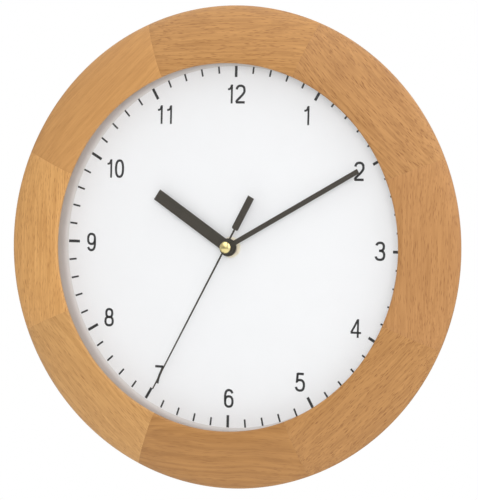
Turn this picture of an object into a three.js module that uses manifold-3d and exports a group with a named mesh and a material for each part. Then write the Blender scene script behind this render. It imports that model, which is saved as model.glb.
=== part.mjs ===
// A radio-controlled wall clock: a ring of eight mitred wooden segments holds the glass, a white
// surround, the dial and its board. A two-motor quartz movement hangs from the dial by its threaded
// bush, and a keyhole plate in the back of the top segment hangs the clock on one screw.
//
// Everything is drawn in the dial's own frame: x to 3 o'clock, y to 12 o'clock, z out of the dial
// into the room, with z = 0 on the dial's face. The last lines turn that frame upright, so that +Z is
// up and the front faces -Y, and put the origin on the wall at the screw that holds the clock.

import * as THREE from 'three';
import { mergeVertices } from 'three/addons/utils/BufferGeometryUtils.js';
import Module from 'manifold-3d';

const wasm = await Module();
wasm.setup();

// Wooden frame, in millimetres
const OUTER_RADIUS = 150;
const FACE_WIDTH = 36.3;
const LIP_THICKNESS = 1.3;
const CREST_RISE = 0.8;
const NOSE_HEIGHT = 4.6;
const NOSE_ROUND = 3;
const REBATE_DEPTH = 3.8;
const UNDERCUT_ANGLE = THREE.MathUtils.degToRad(20);
const SEGMENTS = 8;
const STEPS_PER_SEGMENT = 8;
const GLUE_LINE = 0.1;
// the face from the lip's edge (0) to the nose (1), and its height from the nose (0) to the crest (1)
const FACE_SHARES = [
  [0.025, 0.985], [0.09, 1], [0.22, 0.98], [0.4, 0.87],
  [0.58, 0.72], [0.75, 0.53], [0.88, 0.34], [0.96, 0.17],
];
const NOSE_SHARES = [[0.15, 0.6], [0.6, 1.3]];

// Glass, surround, dial and board
const GLASS_THICKNESS = 1.8;
const GLASS_PLAY = 0.1;
const GLASS_BEVEL = 0.4;
const GLASS_CLEARANCE = 0.2;
const SURROUND_WALL = 1.8;
const DIAL_THICKNESS = 0.5;
const BOARD_THICKNESS = 4;
const DISC_CLEARANCE = 0.5;
const DISC_SIDES = 48;

// Angle clips that hold the board, and their screws
const CLIPS = 4;
const CLIP_SHEET = 1;
const CLIP_WIDTH = 12;
const CLIP_FOOT = 9;
const CLIP_HEIGHT = 10;
const CLIP_WALL_GAP = 0.3;
const CLIP_SCREW_RADIUS = 1.3;
const CLIP_SCREW_LENGTH = 8;
const CLIP_SCREW_HEAD_RADIUS = 2.6;
const CLIP_SCREW_HEAD_HEIGHT = 1.3;
const SCREW_GAP = 0.3;

// Hanger plate in the back of the top segment
const HANG_INSET = 17.5;
const HANGER_WIDTH = 50;
const HANGER_SHEET = 1.5;
const HANGER_CORNER = 3;
const HANGER_MARGIN = 2;
const HANGER_GAP = 0.3;
const NAIL_SLOT_RADIUS = 2.2;
const NAIL_ENTRY_RADIUS = 4.2;
const NAIL_DROP = 6.5;
const KEYHOLE_STEPS = 8;
const NAIL_POCKET_DEPTH = 8;
const NAIL_POCKET_MARGIN = 1.4;
const HANGER_SCREW_INSET = 7;
const HANGER_SCREW_RADIUS = 1.5;
const HANGER_SCREW_HEAD_RADIUS = 3;
const HANGER_SCREW_LENGTH = 14;

// Pipes and bush, from the seconds arbor outwards, all radii
const ARBOR_RADIUS = 0.5;
const RUNNING_GAP = 0.08;
const SEAT_GAP = 0.04;
const MINUTE_PIPE_WALL = 1;
const HOUR_PIPE_WALL = 0.8;
const BUSH_WALL = 1.46;
const BUSH_HEIGHT = 3.2;
const BUSH_FLANGE_RADIUS = 5.2;
const BUSH_FLANGE_THICKNESS = 0.6;
const BORE_GAP = 0.3;
const PIPE_SIDES = 20;
const RUBBER_WASHER_RADIUS = 12;
const RUBBER_WASHER_THICKNESS = 1;
const BRASS_WASHER_RADIUS = 6.6;
const BRASS_WASHER_THICKNESS = 0.4;
const NUT_ACROSS_FLATS = 11;
const NUT_HEIGHT = 1.8;
const NUT_SIDES = 6;

// Hands: lengths as shares of the lip's radius, and the gaps between the hands
const HAND_SHEET = 0.5;
const HAND_COLLAR_WALL = 0.9;
const HAND_GAP = 0.8;
const HAND_CLEARANCE = 1.4;
const HOUR_HAND_SHARE = 0.5136;
const HOUR_HAND_WIDTH = 7.5;
const HOUR_HUB_RADIUS = 5.6;
const MINUTE_HAND_SHARE = 0.8619;
const MINUTE_HAND_WIDTH = 3.1;
const MINUTE_HUB_RADIUS = 4.5;
const COLLAR_HEIGHT = 0.9;
const SECOND_HAND_SHARE = 0.8953;
const SECOND_HAND_SHEET = 0.3;
const SECOND_HAND_ROOT_WIDTH = 1.2;
const SECOND_HAND_TIP_WIDTH = 0.85;
const SECOND_HUB_RADIUS = 2.6;
const COUNTERWEIGHT_START = 12.7;
const COUNTERWEIGHT_END = 35.6;
const COUNTERWEIGHT_WIDTH = 4.5;
const COUNTERWEIGHT_CHAMFER = 0.6;
const CAP_RADIUS = 3.7;
const CAP_HEIGHT = 1.7;
// the cap's section: share of its radius, share of its height
const CAP_SHARES = [[1, 0], [1, 0.42], [0.93, 0.66], [0.75, 0.86], [0.45, 0.97], [0, 1]];
const HOUR_HAND_ANGLE = THREE.MathUtils.degToRad(303);
const MINUTE_HAND_ANGLE = THREE.MathUtils.degToRad(60);
const SECOND_HAND_ANGLE = THREE.MathUtils.degToRad(207.5);

// Movement case
const CASE_WALL = 1.4;
const CASE_FRONT_WALL = 1.5;
const CASE_CORNER = 2.5;
const PARTITION_WALL = 1.2;
const COVER_THICKNESS = 1.2;
const WALL_CLEARANCE = 1.8;
const CUT_OVERRUN = 1;

// Cell and its contacts
const CELL_RADIUS = 7.25;
const CELL_LENGTH = 50.5;
const CELL_NUB_RADIUS = 2.75;
const CELL_NUB_HEIGHT = 1.2;
const CELL_BEVEL = 0.6;
const CELL_GAP = 0.35;
const CONTACT_SHEET = 0.4;
const CONTACT_GAP = 0.1;
const CONTACT_SPRING = 0.75;
const CONTACT_WIDTH = 9;
const CONTACT_BOTTOM_GAP = 2;
const CONTACT_TAIL_HEIGHT = 1;
const CONTACT_TAIL_LENGTH = 3;
const CELL_SIDES = 20;

// Wheel work: tooth counts, modules and the levels at which the wheels lie
const WHEEL_THICKNESS = 0.8;
const LEVEL_GAP = 0.5;
const PINION_OVERLAP = 0.15;
const MINUTE_WHEEL_TEETH = 48;
const SECONDS_WHEEL_TEETH = 48;
const INTERMEDIATE_TEETH = 40;
const PINION_TEETH = 8;
const TRAIN_MODULE = 0.35;
const CANNON_TEETH = 8;
const MOTION_WHEEL_TEETH = 24;
const MOTION_PINION_TEETH = 8;
const HOUR_WHEEL_TEETH = 32;
const MOTION_MODULE = 0.6;
const TOOTH_ADDENDUM = 0.8;
const TOOTH_DEDENDUM = 1.25;
// half a tooth's width at its root and at its tip, as shares of the pitch
const TOOTH_ROOT_SHARE = 0.3;
const TOOTH_TIP_SHARE = 0.1;
const TRAIN_ANGLE = THREE.MathUtils.degToRad(30);
const MOTOR_ANGLE = THREE.MathUtils.degToRad(-30);
const PIVOT_RADIUS = 0.4;
const PIVOT_SIDES = 12;
const PIVOT_DEPTH = 0.8;
const BOSS_RADIUS = 1.2;
const POST_RADIUS = 1.3;
const POST_TIP_RADIUS = 0.7;
const POST_SIDES = 8;
const SCREW_SIDES = 12;
const POST_TIP_RISE = 0.4;
const MOTION_POST_RADIUS = 0.8;

// Motors
const MAGNET_RADIUS = 2.9;
const MAGNET_GAP = 0.4;
const STATOR_SHEET = 1;
const STATOR_RIM = 0.75;
const STATOR_WINDOW = 2.5;
const STATOR_LIMB = 2;
const STATOR_LENGTH = 20;
const STATOR_YOKE = 2.1;
const COIL_RADIUS = 2.2;
const COIL_FLANGE_RADIUS = 2.45;
const COIL_FLANGE = 0.8;
const COIL_GAP = 0.3;
const COIL_SIDES = 16;
const STATOR_POST_RADIUS = 0.9;
const MOTOR_SIDE_GAP = 0.8;
const MOTOR_FOOT_GAP = 0.9;

// Bridge, circuit board, antenna
const BRIDGE_THICKNESS = 0.8;
const BRIDGE_REACH = 3.6;
const BRIDGE_MARGIN = 1.5;
const POST_LOW = [10, -7.9];
const POST_HIGH = [12.5, 14.8];
const SPACER_HEIGHT = 0.6;
const SPACER_RADIUS = 1.5;
const BOARD_SHEET = 1;
const BOARD_EDGE_GAP = 0.3;
const SWITCH_SIZE = 4;
const SWITCH_HEIGHT = 0.9;
const CHIP_SIZE = 7;
const CHIP_HEIGHT = 1.2;
const CHIP_PLACE = [15, 1.5];
const CRYSTAL_RADIUS = 1;
const CRYSTAL_LENGTH = 6;
const CRYSTAL_PLACE = [-15, 1.5];
const ANTENNA_RADIUS = 3.5;
const ANTENNA_LENGTH = 48;
const ANTENNA_CLEARANCE = 0.9;
const ANTENNA_TOP_GAP = 0.6;
const ANTENNA_END_GAP = 1;
const ANTENNA_LIFT = 1.8;
const ANTENNA_COIL_WALL = 0.8;
const ANTENNA_COIL_LENGTH = 18;
const ANTENNA_GAP = 0.1;
const SADDLE_THICKNESS = 1.6;
const SADDLE_SHARE = 0.79;
const SADDLE_WIDTH = 6;

// Push buttons in the back cover
const BUTTON_RADIUS = 2.2;
const RESET_BUTTON_RADIUS = 1.3;
const BUTTON_FLANGE = 0.7;
const BUTTON_FLANGE_RIM = 0.7;
const BUTTON_GAP = 0.15;
const BUTTON_PROUD = 1;
const BUTTON_TRAVEL = 1;
const BUTTON_STOP_GAP = 0.1;
const BUTTON_SPACING = 13;
const BUTTON_PLACE_Y = 10.6;

const MERGE_DISTANCE = 1e-4;
const CORNER_STEPS = 4;

// Finishes
const beech = { color: 0xc9a06c, roughness: 0.55, metalness: 0 };
const clearGlass = { color: 0xe6efee, roughness: 0.05, metalness: 0, transparent: true, opacity: 0.3 };
const whiteCard = { color: 0xe8e8e6, roughness: 0.7, metalness: 0 };
const whiteDial = { color: 0xdedfe0, roughness: 0.6, metalness: 0 };
const fibreboard = { color: 0x8a6a48, roughness: 0.85, metalness: 0 };
const darkHand = { color: 0x3a3733, roughness: 0.45, metalness: 0.2 };
const brass = { color: 0xd9b765, roughness: 0.25, metalness: 1 };
const steel = { color: 0xb4b7ba, roughness: 0.35, metalness: 1 };
const blackRubber = { color: 0x1c1c1c, roughness: 0.9, metalness: 0 };
const blackPlastic = { color: 0x222224, roughness: 0.5, metalness: 0 };
const greyPlastic = { color: 0x9a9ca0, roughness: 0.5, metalness: 0 };
const whitePlastic = { color: 0xe9e6dc, roughness: 0.45, metalness: 0 };
const copperWire = { color: 0xb0642f, roughness: 0.4, metalness: 0.8 };
const ferrite = { color: 0x3b3a3c, roughness: 0.6, metalness: 0.1 };
const magnetGrey = { color: 0x55575a, roughness: 0.5, metalness: 0.6 };
const boardGreen = { color: 0x2f6b45, roughness: 0.5, metalness: 0 };
const chipBlack = { color: 0x151517, roughness: 0.6, metalness: 0 };
const cellSleeve = { color: 0x3e6f8f, roughness: 0.35, metalness: 0.3 };

// Shapes and solids

// a closed solid from a three.js geometry: its shared vertices are merged, empty triangles dropped
function toSolid(geometry) {
  const bare = geometry.clone();
  bare.deleteAttribute('normal');
  bare.deleteAttribute('uv');
  const merged = mergeVertices(bare, MERGE_DISTANCE);
  const kept = [];
  const index = merged.index.array;
  for (let i = 0; i < index.length; i += 3) {
    const [a, b, c] = [index[i], index[i + 1], index[i + 2]];
    if (a !== b && b !== c && c !== a) kept.push(a, b, c);
  }
  return new wasm.Manifold(new wasm.Mesh({
    numProp: 3,
    vertProperties: merged.attributes.position.array,
    triVerts: Uint32Array.from(kept),
  }));
}

function toGeometry(solid) {
  const mesh = solid.getMesh();
  const geometry = new THREE.BufferGeometry();
  geometry.setAttribute('position', new THREE.BufferAttribute(mesh.vertProperties, 3));
  geometry.setIndex(new THREE.BufferAttribute(mesh.triVerts, 1));
  geometry.computeVertexNormals();
  return geometry;
}

function join(...geometries) {
  return toGeometry(geometries.map(toSolid).reduce((sum, solid) => sum.add(solid)));
}

function cut(geometry, ...tools) {
  return toGeometry(tools.map(toSolid).reduce((rest, tool) => rest.subtract(tool), toSolid(geometry)));
}

// a solid of revolution about z; the outline is a list of [radius, z], and it is closed on itself
// unless it starts and ends on the axis
function turned(outline, sides) {
  const onAxis = outline[0][0] === 0 && outline[outline.length - 1][0] === 0;
  const closed = onAxis ? outline : [...outline, outline[0]];
  const points = closed.map(([radius, z]) => new THREE.Vector2(radius, z));
  if (THREE.ShapeUtils.area(points) < 0) points.reverse();
  return new THREE.LatheGeometry(points, sides).rotateX(Math.PI / 2);
}

// a flat washer, disc or tube between two heights
function tube(innerRadius, outerRadius, back, front, sides) {
  const outline = [[innerRadius, back], [outerRadius, back], [outerRadius, front], [innerRadius, front]];
  return turned(outline, sides);
}

function rod(radius, back, front, sides) {
  return turned([[0, back], [radius, back], [radius, front], [0, front]], sides);
}

// a flat sheet of a shape, lying between its back and its front
function sheet(shape, back, front, curveSegments = CORNER_STEPS) {
  const settings = { depth: front - back, bevelEnabled: false, curveSegments };
  return new THREE.ExtrudeGeometry(shape, settings).translate(0, 0, back);
}

// a box from its lowest to its highest corner
function block([x0, y0, z0], [x1, y1, z1]) {
  const geometry = new THREE.BoxGeometry(x1 - x0, y1 - y0, z1 - z0);
  return geometry.translate((x0 + x1) / 2, (y0 + y1) / 2, (z0 + z1) / 2);
}

function polygon(points) {
  return new THREE.Shape(points.map(([x, y]) => new THREE.Vector2(x, y)));
}

function roundedRectangle(x0, y0, x1, y1, radius) {
  const corners = [[x1 - radius, y1 - radius, 0], [x0 + radius, y1 - radius, 1],
    [x0 + radius, y0 + radius, 2], [x1 - radius, y0 + radius, 3]];
  const shape = new THREE.Shape();
  for (const [x, y, quarter] of corners) {
    const start = quarter * Math.PI / 2;
    shape.absarc(x, y, radius, start, start + Math.PI / 2, false);
  }
  return shape;
}

// the same geometry turned from the z axis onto the x axis or the y axis
function alongX(geometry) {
  return geometry.rotateY(Math.PI / 2);
}

function alongY(geometry) {
  return geometry.rotateX(-Math.PI / 2);
}

const clock = new THREE.Group();

function addMesh(name, geometry, finish, parent = clock) {
  const mesh = new THREE.Mesh(geometry, new THREE.MeshStandardMaterial(finish));
  mesh.name = name;
  parent.add(mesh);
  return mesh;
}

// Heights over the dial: the hands first, because the glass clears them
const hourHandBack = BUSH_HEIGHT + HAND_CLEARANCE;
const hourHandFront = hourHandBack + HAND_SHEET;
const minuteHandBack = hourHandFront + HAND_GAP + COLLAR_HEIGHT;
const minuteHandFront = minuteHandBack + HAND_SHEET;
const secondHandBack = minuteHandFront + HAND_GAP + COLLAR_HEIGHT;
const secondHandFront = secondHandBack + SECOND_HAND_SHEET;
const glassBack = secondHandFront + CAP_HEIGHT + GLASS_CLEARANCE;
const glassFront = glassBack + GLASS_THICKNESS;
const lipBack = glassFront + GLASS_PLAY;
const lipEdge = lipBack + LIP_THICKNESS;
const crest = lipEdge + CREST_RISE;
const dialBack = -DIAL_THICKNESS;
const boardBack = dialBack - BOARD_THICKNESS;
const caseFront = boardBack - RUBBER_WASHER_THICKNESS;
const caseInside = caseFront - CASE_FRONT_WALL;
const bushBack = caseInside - BUSH_FLANGE_THICKNESS;
const levelFront = (level) => bushBack - LEVEL_GAP - level * (WHEEL_THICKNESS + LEVEL_GAP);
const levelBack = (level) => levelFront(level) - WHEEL_THICKNESS;
const HOUR_LEVEL = 0;
const MOTION_LEVEL = 1;
const MINUTE_LEVEL = 2;
const MINUTE_INTERMEDIATE_LEVEL = 3;
const SECONDS_LEVEL = 4;
const SECONDS_INTERMEDIATE_LEVEL = 5;
const bridgeFront = levelBack(SECONDS_INTERMEDIATE_LEVEL) - LEVEL_GAP;
const bridgeBack = bridgeFront - BRIDGE_THICKNESS;
const circuitFront = bridgeBack - SPACER_HEIGHT;
const circuitBack = circuitFront - BOARD_SHEET;
const switchBack = circuitBack - SWITCH_HEIGHT;
const buttonFront = switchBack - BUTTON_STOP_GAP - BUTTON_TRAVEL;
const coverFront = buttonFront - BUTTON_FLANGE;
const coverBack = coverFront - COVER_THICKNESS;
const buttonBack = coverBack - BUTTON_PROUD;
const cellZ = caseInside - CELL_GAP - CELL_RADIUS;
const wall = Math.min(buttonBack, cellZ - CELL_RADIUS) - WALL_CLEARANCE;

// Radii that follow one another
const lipRadius = OUTER_RADIUS - FACE_WIDTH;
const rebateRadius = lipRadius + REBATE_DEPTH;
const discRadius = rebateRadius - DISC_CLEARANCE;
const backRadius = OUTER_RADIUS - (NOSE_HEIGHT - wall) * Math.tan(UNDERCUT_ANGLE);
const minutePipeBore = ARBOR_RADIUS + RUNNING_GAP;
const minutePipeRadius = minutePipeBore + MINUTE_PIPE_WALL;
const hourPipeBore = minutePipeRadius + RUNNING_GAP;
const hourPipeRadius = hourPipeBore + HOUR_PIPE_WALL;
const bushBore = hourPipeRadius + RUNNING_GAP;
const bushRadius = bushBore + BUSH_WALL;

// Wooden frame: the section is carried round through one eighth of a turn for each segment
function frameSection() {
  const faceHeight = crest - NOSE_HEIGHT;
  const face = FACE_SHARES.map(([outward, up]) =>
    [lipRadius + outward * FACE_WIDTH, NOSE_HEIGHT + up * faceHeight]);
  const nose = NOSE_SHARES.map(([inward, down]) =>
    [OUTER_RADIUS - inward * NOSE_ROUND, NOSE_HEIGHT - down * NOSE_ROUND]);
  return polygon([
    [lipRadius, lipBack], [rebateRadius, lipBack], [rebateRadius, wall], [backRadius, wall],
    ...nose.reverse(), [OUTER_RADIUS, NOSE_HEIGHT], ...face.reverse(), [lipRadius, lipEdge],
  ]);
}

// an extrusion of the section bent round the clock's centre, from one clock angle to another
function bentSection(section, fromAngle, toAngle) {
  const settings = { depth: 1, steps: STEPS_PER_SEGMENT, bevelEnabled: false };
  const geometry = new THREE.ExtrudeGeometry(section, settings);
  const place = geometry.attributes.position;
  for (let i = 0; i < place.count; i += 1) {
    const angle = fromAngle + place.getZ(i) * (toAngle - fromAngle);
    const radius = place.getX(i);
    place.setXYZ(i, radius * Math.sin(angle), radius * Math.cos(angle), place.getY(i));
  }
  return geometry;
}

// everything that sits in the keyhole plate's pocket, drawn round the wall screw's place
const hangRadius = OUTER_RADIUS - HANG_INSET;
const hangerBottom = hangRadius - NAIL_DROP - NAIL_ENTRY_RADIUS - HANGER_MARGIN;
const hangerTop = hangRadius + NAIL_SLOT_RADIUS + HANGER_MARGIN;
const hangerFront = wall + HANGER_SHEET;
const hangerScrewY = (hangerBottom + hangerTop) / 2;
const hangerScrewX = HANGER_WIDTH / 2 - HANGER_SCREW_INSET;

function hangerScrewOutline(gap) {
  const shank = HANGER_SCREW_RADIUS + gap;
  const head = HANGER_SCREW_HEAD_RADIUS + gap;
  return [[0, wall], [head, wall], [shank, hangerFront], [shank, wall + HANGER_SCREW_LENGTH + gap],
    [0, wall + HANGER_SCREW_LENGTH + gap]];
}

function hangerScrewHoles(gap) {
  return [-hangerScrewX, hangerScrewX].map((x) =>
    turned(hangerScrewOutline(gap), SCREW_SIDES).translate(x, hangerScrewY, 0));
}

function topSegmentCuts() {
  const halfWidth = HANGER_WIDTH / 2 + HANGER_GAP;
  const recess = sheet(
    roundedRectangle(-halfWidth, hangerBottom - HANGER_GAP, halfWidth, hangerTop + HANGER_GAP,
      HANGER_CORNER), wall - CUT_OVERRUN, hangerFront + HANGER_GAP);
  const pocketHalf = NAIL_ENTRY_RADIUS + NAIL_POCKET_MARGIN;
  const pocket = sheet(
    roundedRectangle(-pocketHalf, hangerBottom + HANGER_MARGIN - NAIL_POCKET_MARGIN,
      pocketHalf, hangerTop - HANGER_MARGIN + NAIL_POCKET_MARGIN, HANGER_CORNER),
    wall, hangerFront + NAIL_POCKET_DEPTH);
  return [recess, pocket, ...hangerScrewHoles(SCREW_GAP)];
}

// the screw of an angle clip lies along y in the clip's own turned place
const clipScrewZ = boardBack - CLIP_SHEET - (CLIP_HEIGHT - CLIP_SHEET) / 2;
const clipWallRadius = rebateRadius * Math.cos(Math.PI / (SEGMENTS * STEPS_PER_SEGMENT)) - CLIP_WALL_GAP;
const clipInnerRadius = clipWallRadius - CLIP_SHEET;
const clipAngle = (index) => Math.PI / CLIPS + index * 2 * Math.PI / CLIPS;

function clipScrew(gap) {
  const shank = CLIP_SCREW_RADIUS + gap;
  const head = CLIP_SCREW_HEAD_RADIUS;
  const top = -CLIP_SCREW_HEAD_HEIGHT;
  const end = CLIP_SHEET + CLIP_SCREW_LENGTH + gap;
  const outline = [[0, top], [head + top / 2, top], [head, top / 2], [head, 0],
    [shank, 0], [shank, end], [0, end]];
  return alongY(turned(outline, SCREW_SIDES)).translate(0, clipInnerRadius, clipScrewZ);
}

function clipScrewDrill() {
  const start = clipInnerRadius - CUT_OVERRUN;
  const end = clipInnerRadius + CLIP_SHEET + CLIP_SCREW_LENGTH + SCREW_GAP;
  return alongY(rod(CLIP_SCREW_RADIUS + SCREW_GAP, start, end, SCREW_SIDES)).translate(0, 0, clipScrewZ);
}

function makeFrame() {
  const section = frameSection();
  const step = 2 * Math.PI / SEGMENTS;
  const glueAngle = GLUE_LINE / 2 / OUTER_RADIUS;
  for (let index = 0; index < SEGMENTS; index += 1) {
    const middle = index * step;
    const plain = bentSection(section, middle - step / 2 + glueAngle, middle + step / 2 - glueAngle);
    const drills = [];
    for (let clip = 0; clip < CLIPS; clip += 1) {
      const angle = clipAngle(clip);
      if (Math.abs(angle - middle) < step / 2) drills.push(clipScrewDrill().rotateZ(-angle));
    }
    if (index === 0) drills.push(...topSegmentCuts());
    addMesh(`frame_segment_${index + 1}`, drills.length ? cut(plain, ...drills) : plain, beech);
  }
}

function makeHanger() {
  const plate = sheet(
    roundedRectangle(-HANGER_WIDTH / 2, hangerBottom, HANGER_WIDTH / 2, hangerTop, HANGER_CORNER),
    wall, hangerFront);
  const slot = new THREE.Shape();
  const entryY = hangRadius - NAIL_DROP;
  const openAngle = Math.asin(NAIL_SLOT_RADIUS / NAIL_ENTRY_RADIUS);
  slot.absarc(0, hangRadius, NAIL_SLOT_RADIUS, 0, Math.PI, false);
  slot.absarc(0, entryY, NAIL_ENTRY_RADIUS, Math.PI / 2 + openAngle, 2.5 * Math.PI - openAngle, false);
  const keyhole = sheet(slot, wall - CUT_OVERRUN, hangerFront + CUT_OVERRUN, KEYHOLE_STEPS);
  addMesh('hanger_plate', cut(plate, keyhole, ...hangerScrewHoles(SCREW_GAP)), steel);
  [-hangerScrewX, hangerScrewX].forEach((x, index) => {
    const screw = turned(hangerScrewOutline(0), SCREW_SIDES).translate(x, hangerScrewY, 0);
    addMesh(`hanger_screw_${index + 1}`, screw, steel);
  });
}

function makeFront() {
  const bevelled = discRadius - GLASS_BEVEL;
  addMesh('glass', turned([[0, glassBack], [discRadius, glassBack], [discRadius, glassFront - GLASS_BEVEL],
    [bevelled, glassFront], [0, glassFront]], DISC_SIDES), clearGlass);
  const surround = tube(discRadius - SURROUND_WALL, discRadius, 0, glassBack, DISC_SIDES);
  addMesh('dial_surround', surround, whiteCard);
  const bore = bushRadius + BORE_GAP;
  addMesh('dial_plate', tube(bore, discRadius, dialBack, 0, DISC_SIDES), whiteDial);
  addMesh('backing_board', tube(bore, discRadius, boardBack, dialBack, DISC_SIDES), fibreboard);
}

function makeClips() {
  const footBack = boardBack - CLIP_SHEET;
  const legBack = boardBack - CLIP_HEIGHT;
  const half = CLIP_WIDTH / 2;
  const corner = [half, clipWallRadius, boardBack];
  for (let index = 0; index < CLIPS; index += 1) {
    const place = new THREE.Group();
    place.rotation.z = -clipAngle(index);
    clock.add(place);
    const foot = block([-half, clipWallRadius - CLIP_FOOT, footBack], corner);
    const leg = block([-half, clipInnerRadius, legBack], corner);
    addMesh(`board_clip_${index + 1}`, cut(join(foot, leg), clipScrewDrill()), steel, place);
    addMesh(`clip_screw_${index + 1}`, clipScrew(0), steel, place);
  }
}

// Hand fitting: bush, washers and nut
function makeFitting() {
  addMesh('threaded_bush', turned([[bushBore, bushBack], [BUSH_FLANGE_RADIUS, bushBack],
    [BUSH_FLANGE_RADIUS, caseInside], [bushRadius, caseInside], [bushRadius, BUSH_HEIGHT],
    [bushBore, BUSH_HEIGHT]], PIPE_SIDES), brass);
  const rubberBore = bushRadius + BORE_GAP;
  addMesh('rubber_washer', tube(rubberBore, RUBBER_WASHER_RADIUS, caseFront, boardBack, PIPE_SIDES),
    blackRubber);
  const brassBore = bushRadius + RUNNING_GAP;
  addMesh('brass_washer', tube(brassBore, BRASS_WASHER_RADIUS, 0, BRASS_WASHER_THICKNESS, PIPE_SIDES),
    brass);
  const nutCorner = NUT_ACROSS_FLATS / 2 / Math.cos(Math.PI / NUT_SIDES);
  const nutTop = BRASS_WASHER_THICKNESS + NUT_HEIGHT;
  const bore = rod(brassBore, 0, nutTop + CUT_OVERRUN, PIPE_SIDES);
  addMesh('fixing_nut', cut(rod(nutCorner, BRASS_WASHER_THICKNESS, nutTop, NUT_SIDES), bore), brass);
}

// Hands: each is a bar with a round hub and a collar behind it, drawn pointing to 12 and then turned
function hand(outline, hubRadius, pipeRadius, back, front) {
  const collarBack = back - COLLAR_HEIGHT;
  const collar = rod(pipeRadius + HAND_COLLAR_WALL, collarBack, back, PIPE_SIDES);
  const hub = rod(hubRadius, back, front, PIPE_SIDES);
  const bore = rod(pipeRadius + SEAT_GAP, collarBack - CUT_OVERRUN, front + CUT_OVERRUN, PIPE_SIDES);
  return cut(join(sheet(polygon(outline), back, front), hub, collar), bore);
}

function barOutline(width, length) {
  return [[-width / 2, 0], [width / 2, 0], [width / 2, length], [-width / 2, length]];
}

function secondHandOutline() {
  const root = SECOND_HAND_ROOT_WIDTH / 2;
  const tip = SECOND_HAND_TIP_WIDTH / 2;
  const weight = COUNTERWEIGHT_WIDTH / 2;
  const chamfer = COUNTERWEIGHT_CHAMFER;
  const right = [[tip, SECOND_HAND_SHARE * lipRadius], [root, 0], [root, -COUNTERWEIGHT_START],
    [weight - chamfer, -COUNTERWEIGHT_START], [weight, -COUNTERWEIGHT_START - chamfer],
    [weight, -COUNTERWEIGHT_END]];
  const left = right.map(([x, y]) => [-x, y]).reverse();
  return [...right, ...left].reverse();
}

function makeHands() {
  const hourBar = barOutline(HOUR_HAND_WIDTH, HOUR_HAND_SHARE * lipRadius);
  const hour = hand(hourBar, HOUR_HUB_RADIUS, hourPipeRadius, hourHandBack, hourHandFront);
  addMesh('hour_hand', hour, darkHand).rotation.z = -HOUR_HAND_ANGLE;
  const minuteBar = barOutline(MINUTE_HAND_WIDTH, MINUTE_HAND_SHARE * lipRadius);
  const minute = hand(minuteBar, MINUTE_HUB_RADIUS, minutePipeRadius, minuteHandBack, minuteHandFront);
  addMesh('minute_hand', minute, darkHand).rotation.z = -MINUTE_HAND_ANGLE;
  const second = hand(secondHandOutline(), SECOND_HUB_RADIUS, ARBOR_RADIUS,
    secondHandBack, secondHandFront);
  addMesh('second_hand', second, darkHand).rotation.z = -SECOND_HAND_ANGLE;
  const cap = CAP_SHARES.map(([across, up]) => [across * CAP_RADIUS, secondHandFront + up * CAP_HEIGHT]);
  addMesh('second_hand_cap', turned([[0, secondHandFront], ...cap], PIPE_SIDES), brass);
}

// Wheels: a tooth is a trapezium, four points to a tooth
function toothedWheel(teeth, module, back, front, boreRadius = 0) {
  const pitch = 2 * Math.PI / teeth;
  const root = module * (teeth / 2 - TOOTH_DEDENDUM);
  const tip = module * (teeth / 2 + TOOTH_ADDENDUM);
  const shape = [];
  for (let tooth = 0; tooth < teeth; tooth += 1) {
    const middle = tooth * pitch;
    for (const [radius, share] of [[root, -TOOTH_ROOT_SHARE], [tip, -TOOTH_TIP_SHARE],
      [tip, TOOTH_TIP_SHARE], [root, TOOTH_ROOT_SHARE]]) {
      const angle = middle + share * pitch;
      shape.push([radius * Math.cos(angle), radius * Math.sin(angle)]);
    }
  }
  const blank = sheet(polygon(shape), back, front);
  if (boreRadius === 0) return blank;
  return cut(blank, rod(boreRadius, back - CUT_OVERRUN, front + CUT_OVERRUN, PIPE_SIDES));
}

// the turn that brings a wheel into mesh with another: a tooth of the one faces a gap of the other
function meshedTurn(direction, otherTurn, otherTeeth, teeth) {
  return direction + Math.PI + Math.PI / teeth - (otherTurn - direction) * otherTeeth / teeth;
}

const centreDistance = (module, teethA, teethB) => module * (teethA + teethB) / 2;
const along = ([x, y], distance, angle) => [x + distance * Math.cos(angle), y + distance * Math.sin(angle)];
const mirrored = (angle) => Math.PI - angle;

const motionDistance = centreDistance(MOTION_MODULE, CANNON_TEETH, MOTION_WHEEL_TEETH);
const hourModule = motionDistance * 2 / (MOTION_PINION_TEETH + HOUR_WHEEL_TEETH);
const motionPlace = [0, motionDistance];
const centre = [0, 0];
const intermediateDistance = centreDistance(TRAIN_MODULE, PINION_TEETH, MINUTE_WHEEL_TEETH);
const secondsDistance = centreDistance(TRAIN_MODULE, PINION_TEETH, SECONDS_WHEEL_TEETH);
const rotorDistance = centreDistance(TRAIN_MODULE, PINION_TEETH, INTERMEDIATE_TEETH);
const minuteIntermediatePlace = along(centre, intermediateDistance, mirrored(TRAIN_ANGLE));
const minuteRotorPlace = along(minuteIntermediatePlace, rotorDistance, mirrored(MOTOR_ANGLE));
const secondsIntermediatePlace = along(centre, secondsDistance, TRAIN_ANGLE);
const secondsRotorPlace = along(secondsIntermediatePlace, rotorDistance, MOTOR_ANGLE);

const pivotPlaces = [minuteIntermediatePlace, minuteRotorPlace, secondsIntermediatePlace,
  secondsRotorPlace];

const bossBack = levelBack(MOTION_LEVEL);
const pivotFront = bossBack + PIVOT_DEPTH;
const pivotBack = bridgeBack;
const pinionFront = (level) => levelFront(level) + PINION_OVERLAP;
const pinionBack = (level) => levelBack(level) - PINION_OVERLAP;

// a wheel that lies in one level of the works
function wheelAt(level, teeth, module, boreRadius) {
  return toothedWheel(teeth, module, levelBack(level), levelFront(level), boreRadius);
}

// a pinion in front of one level's wheel, long enough to mesh with the wheel of the next level
function pinionOver(level, nextLevel, teeth, module, boreRadius) {
  return toothedWheel(teeth, module, levelFront(level), pinionFront(nextLevel), boreRadius);
}

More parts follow.
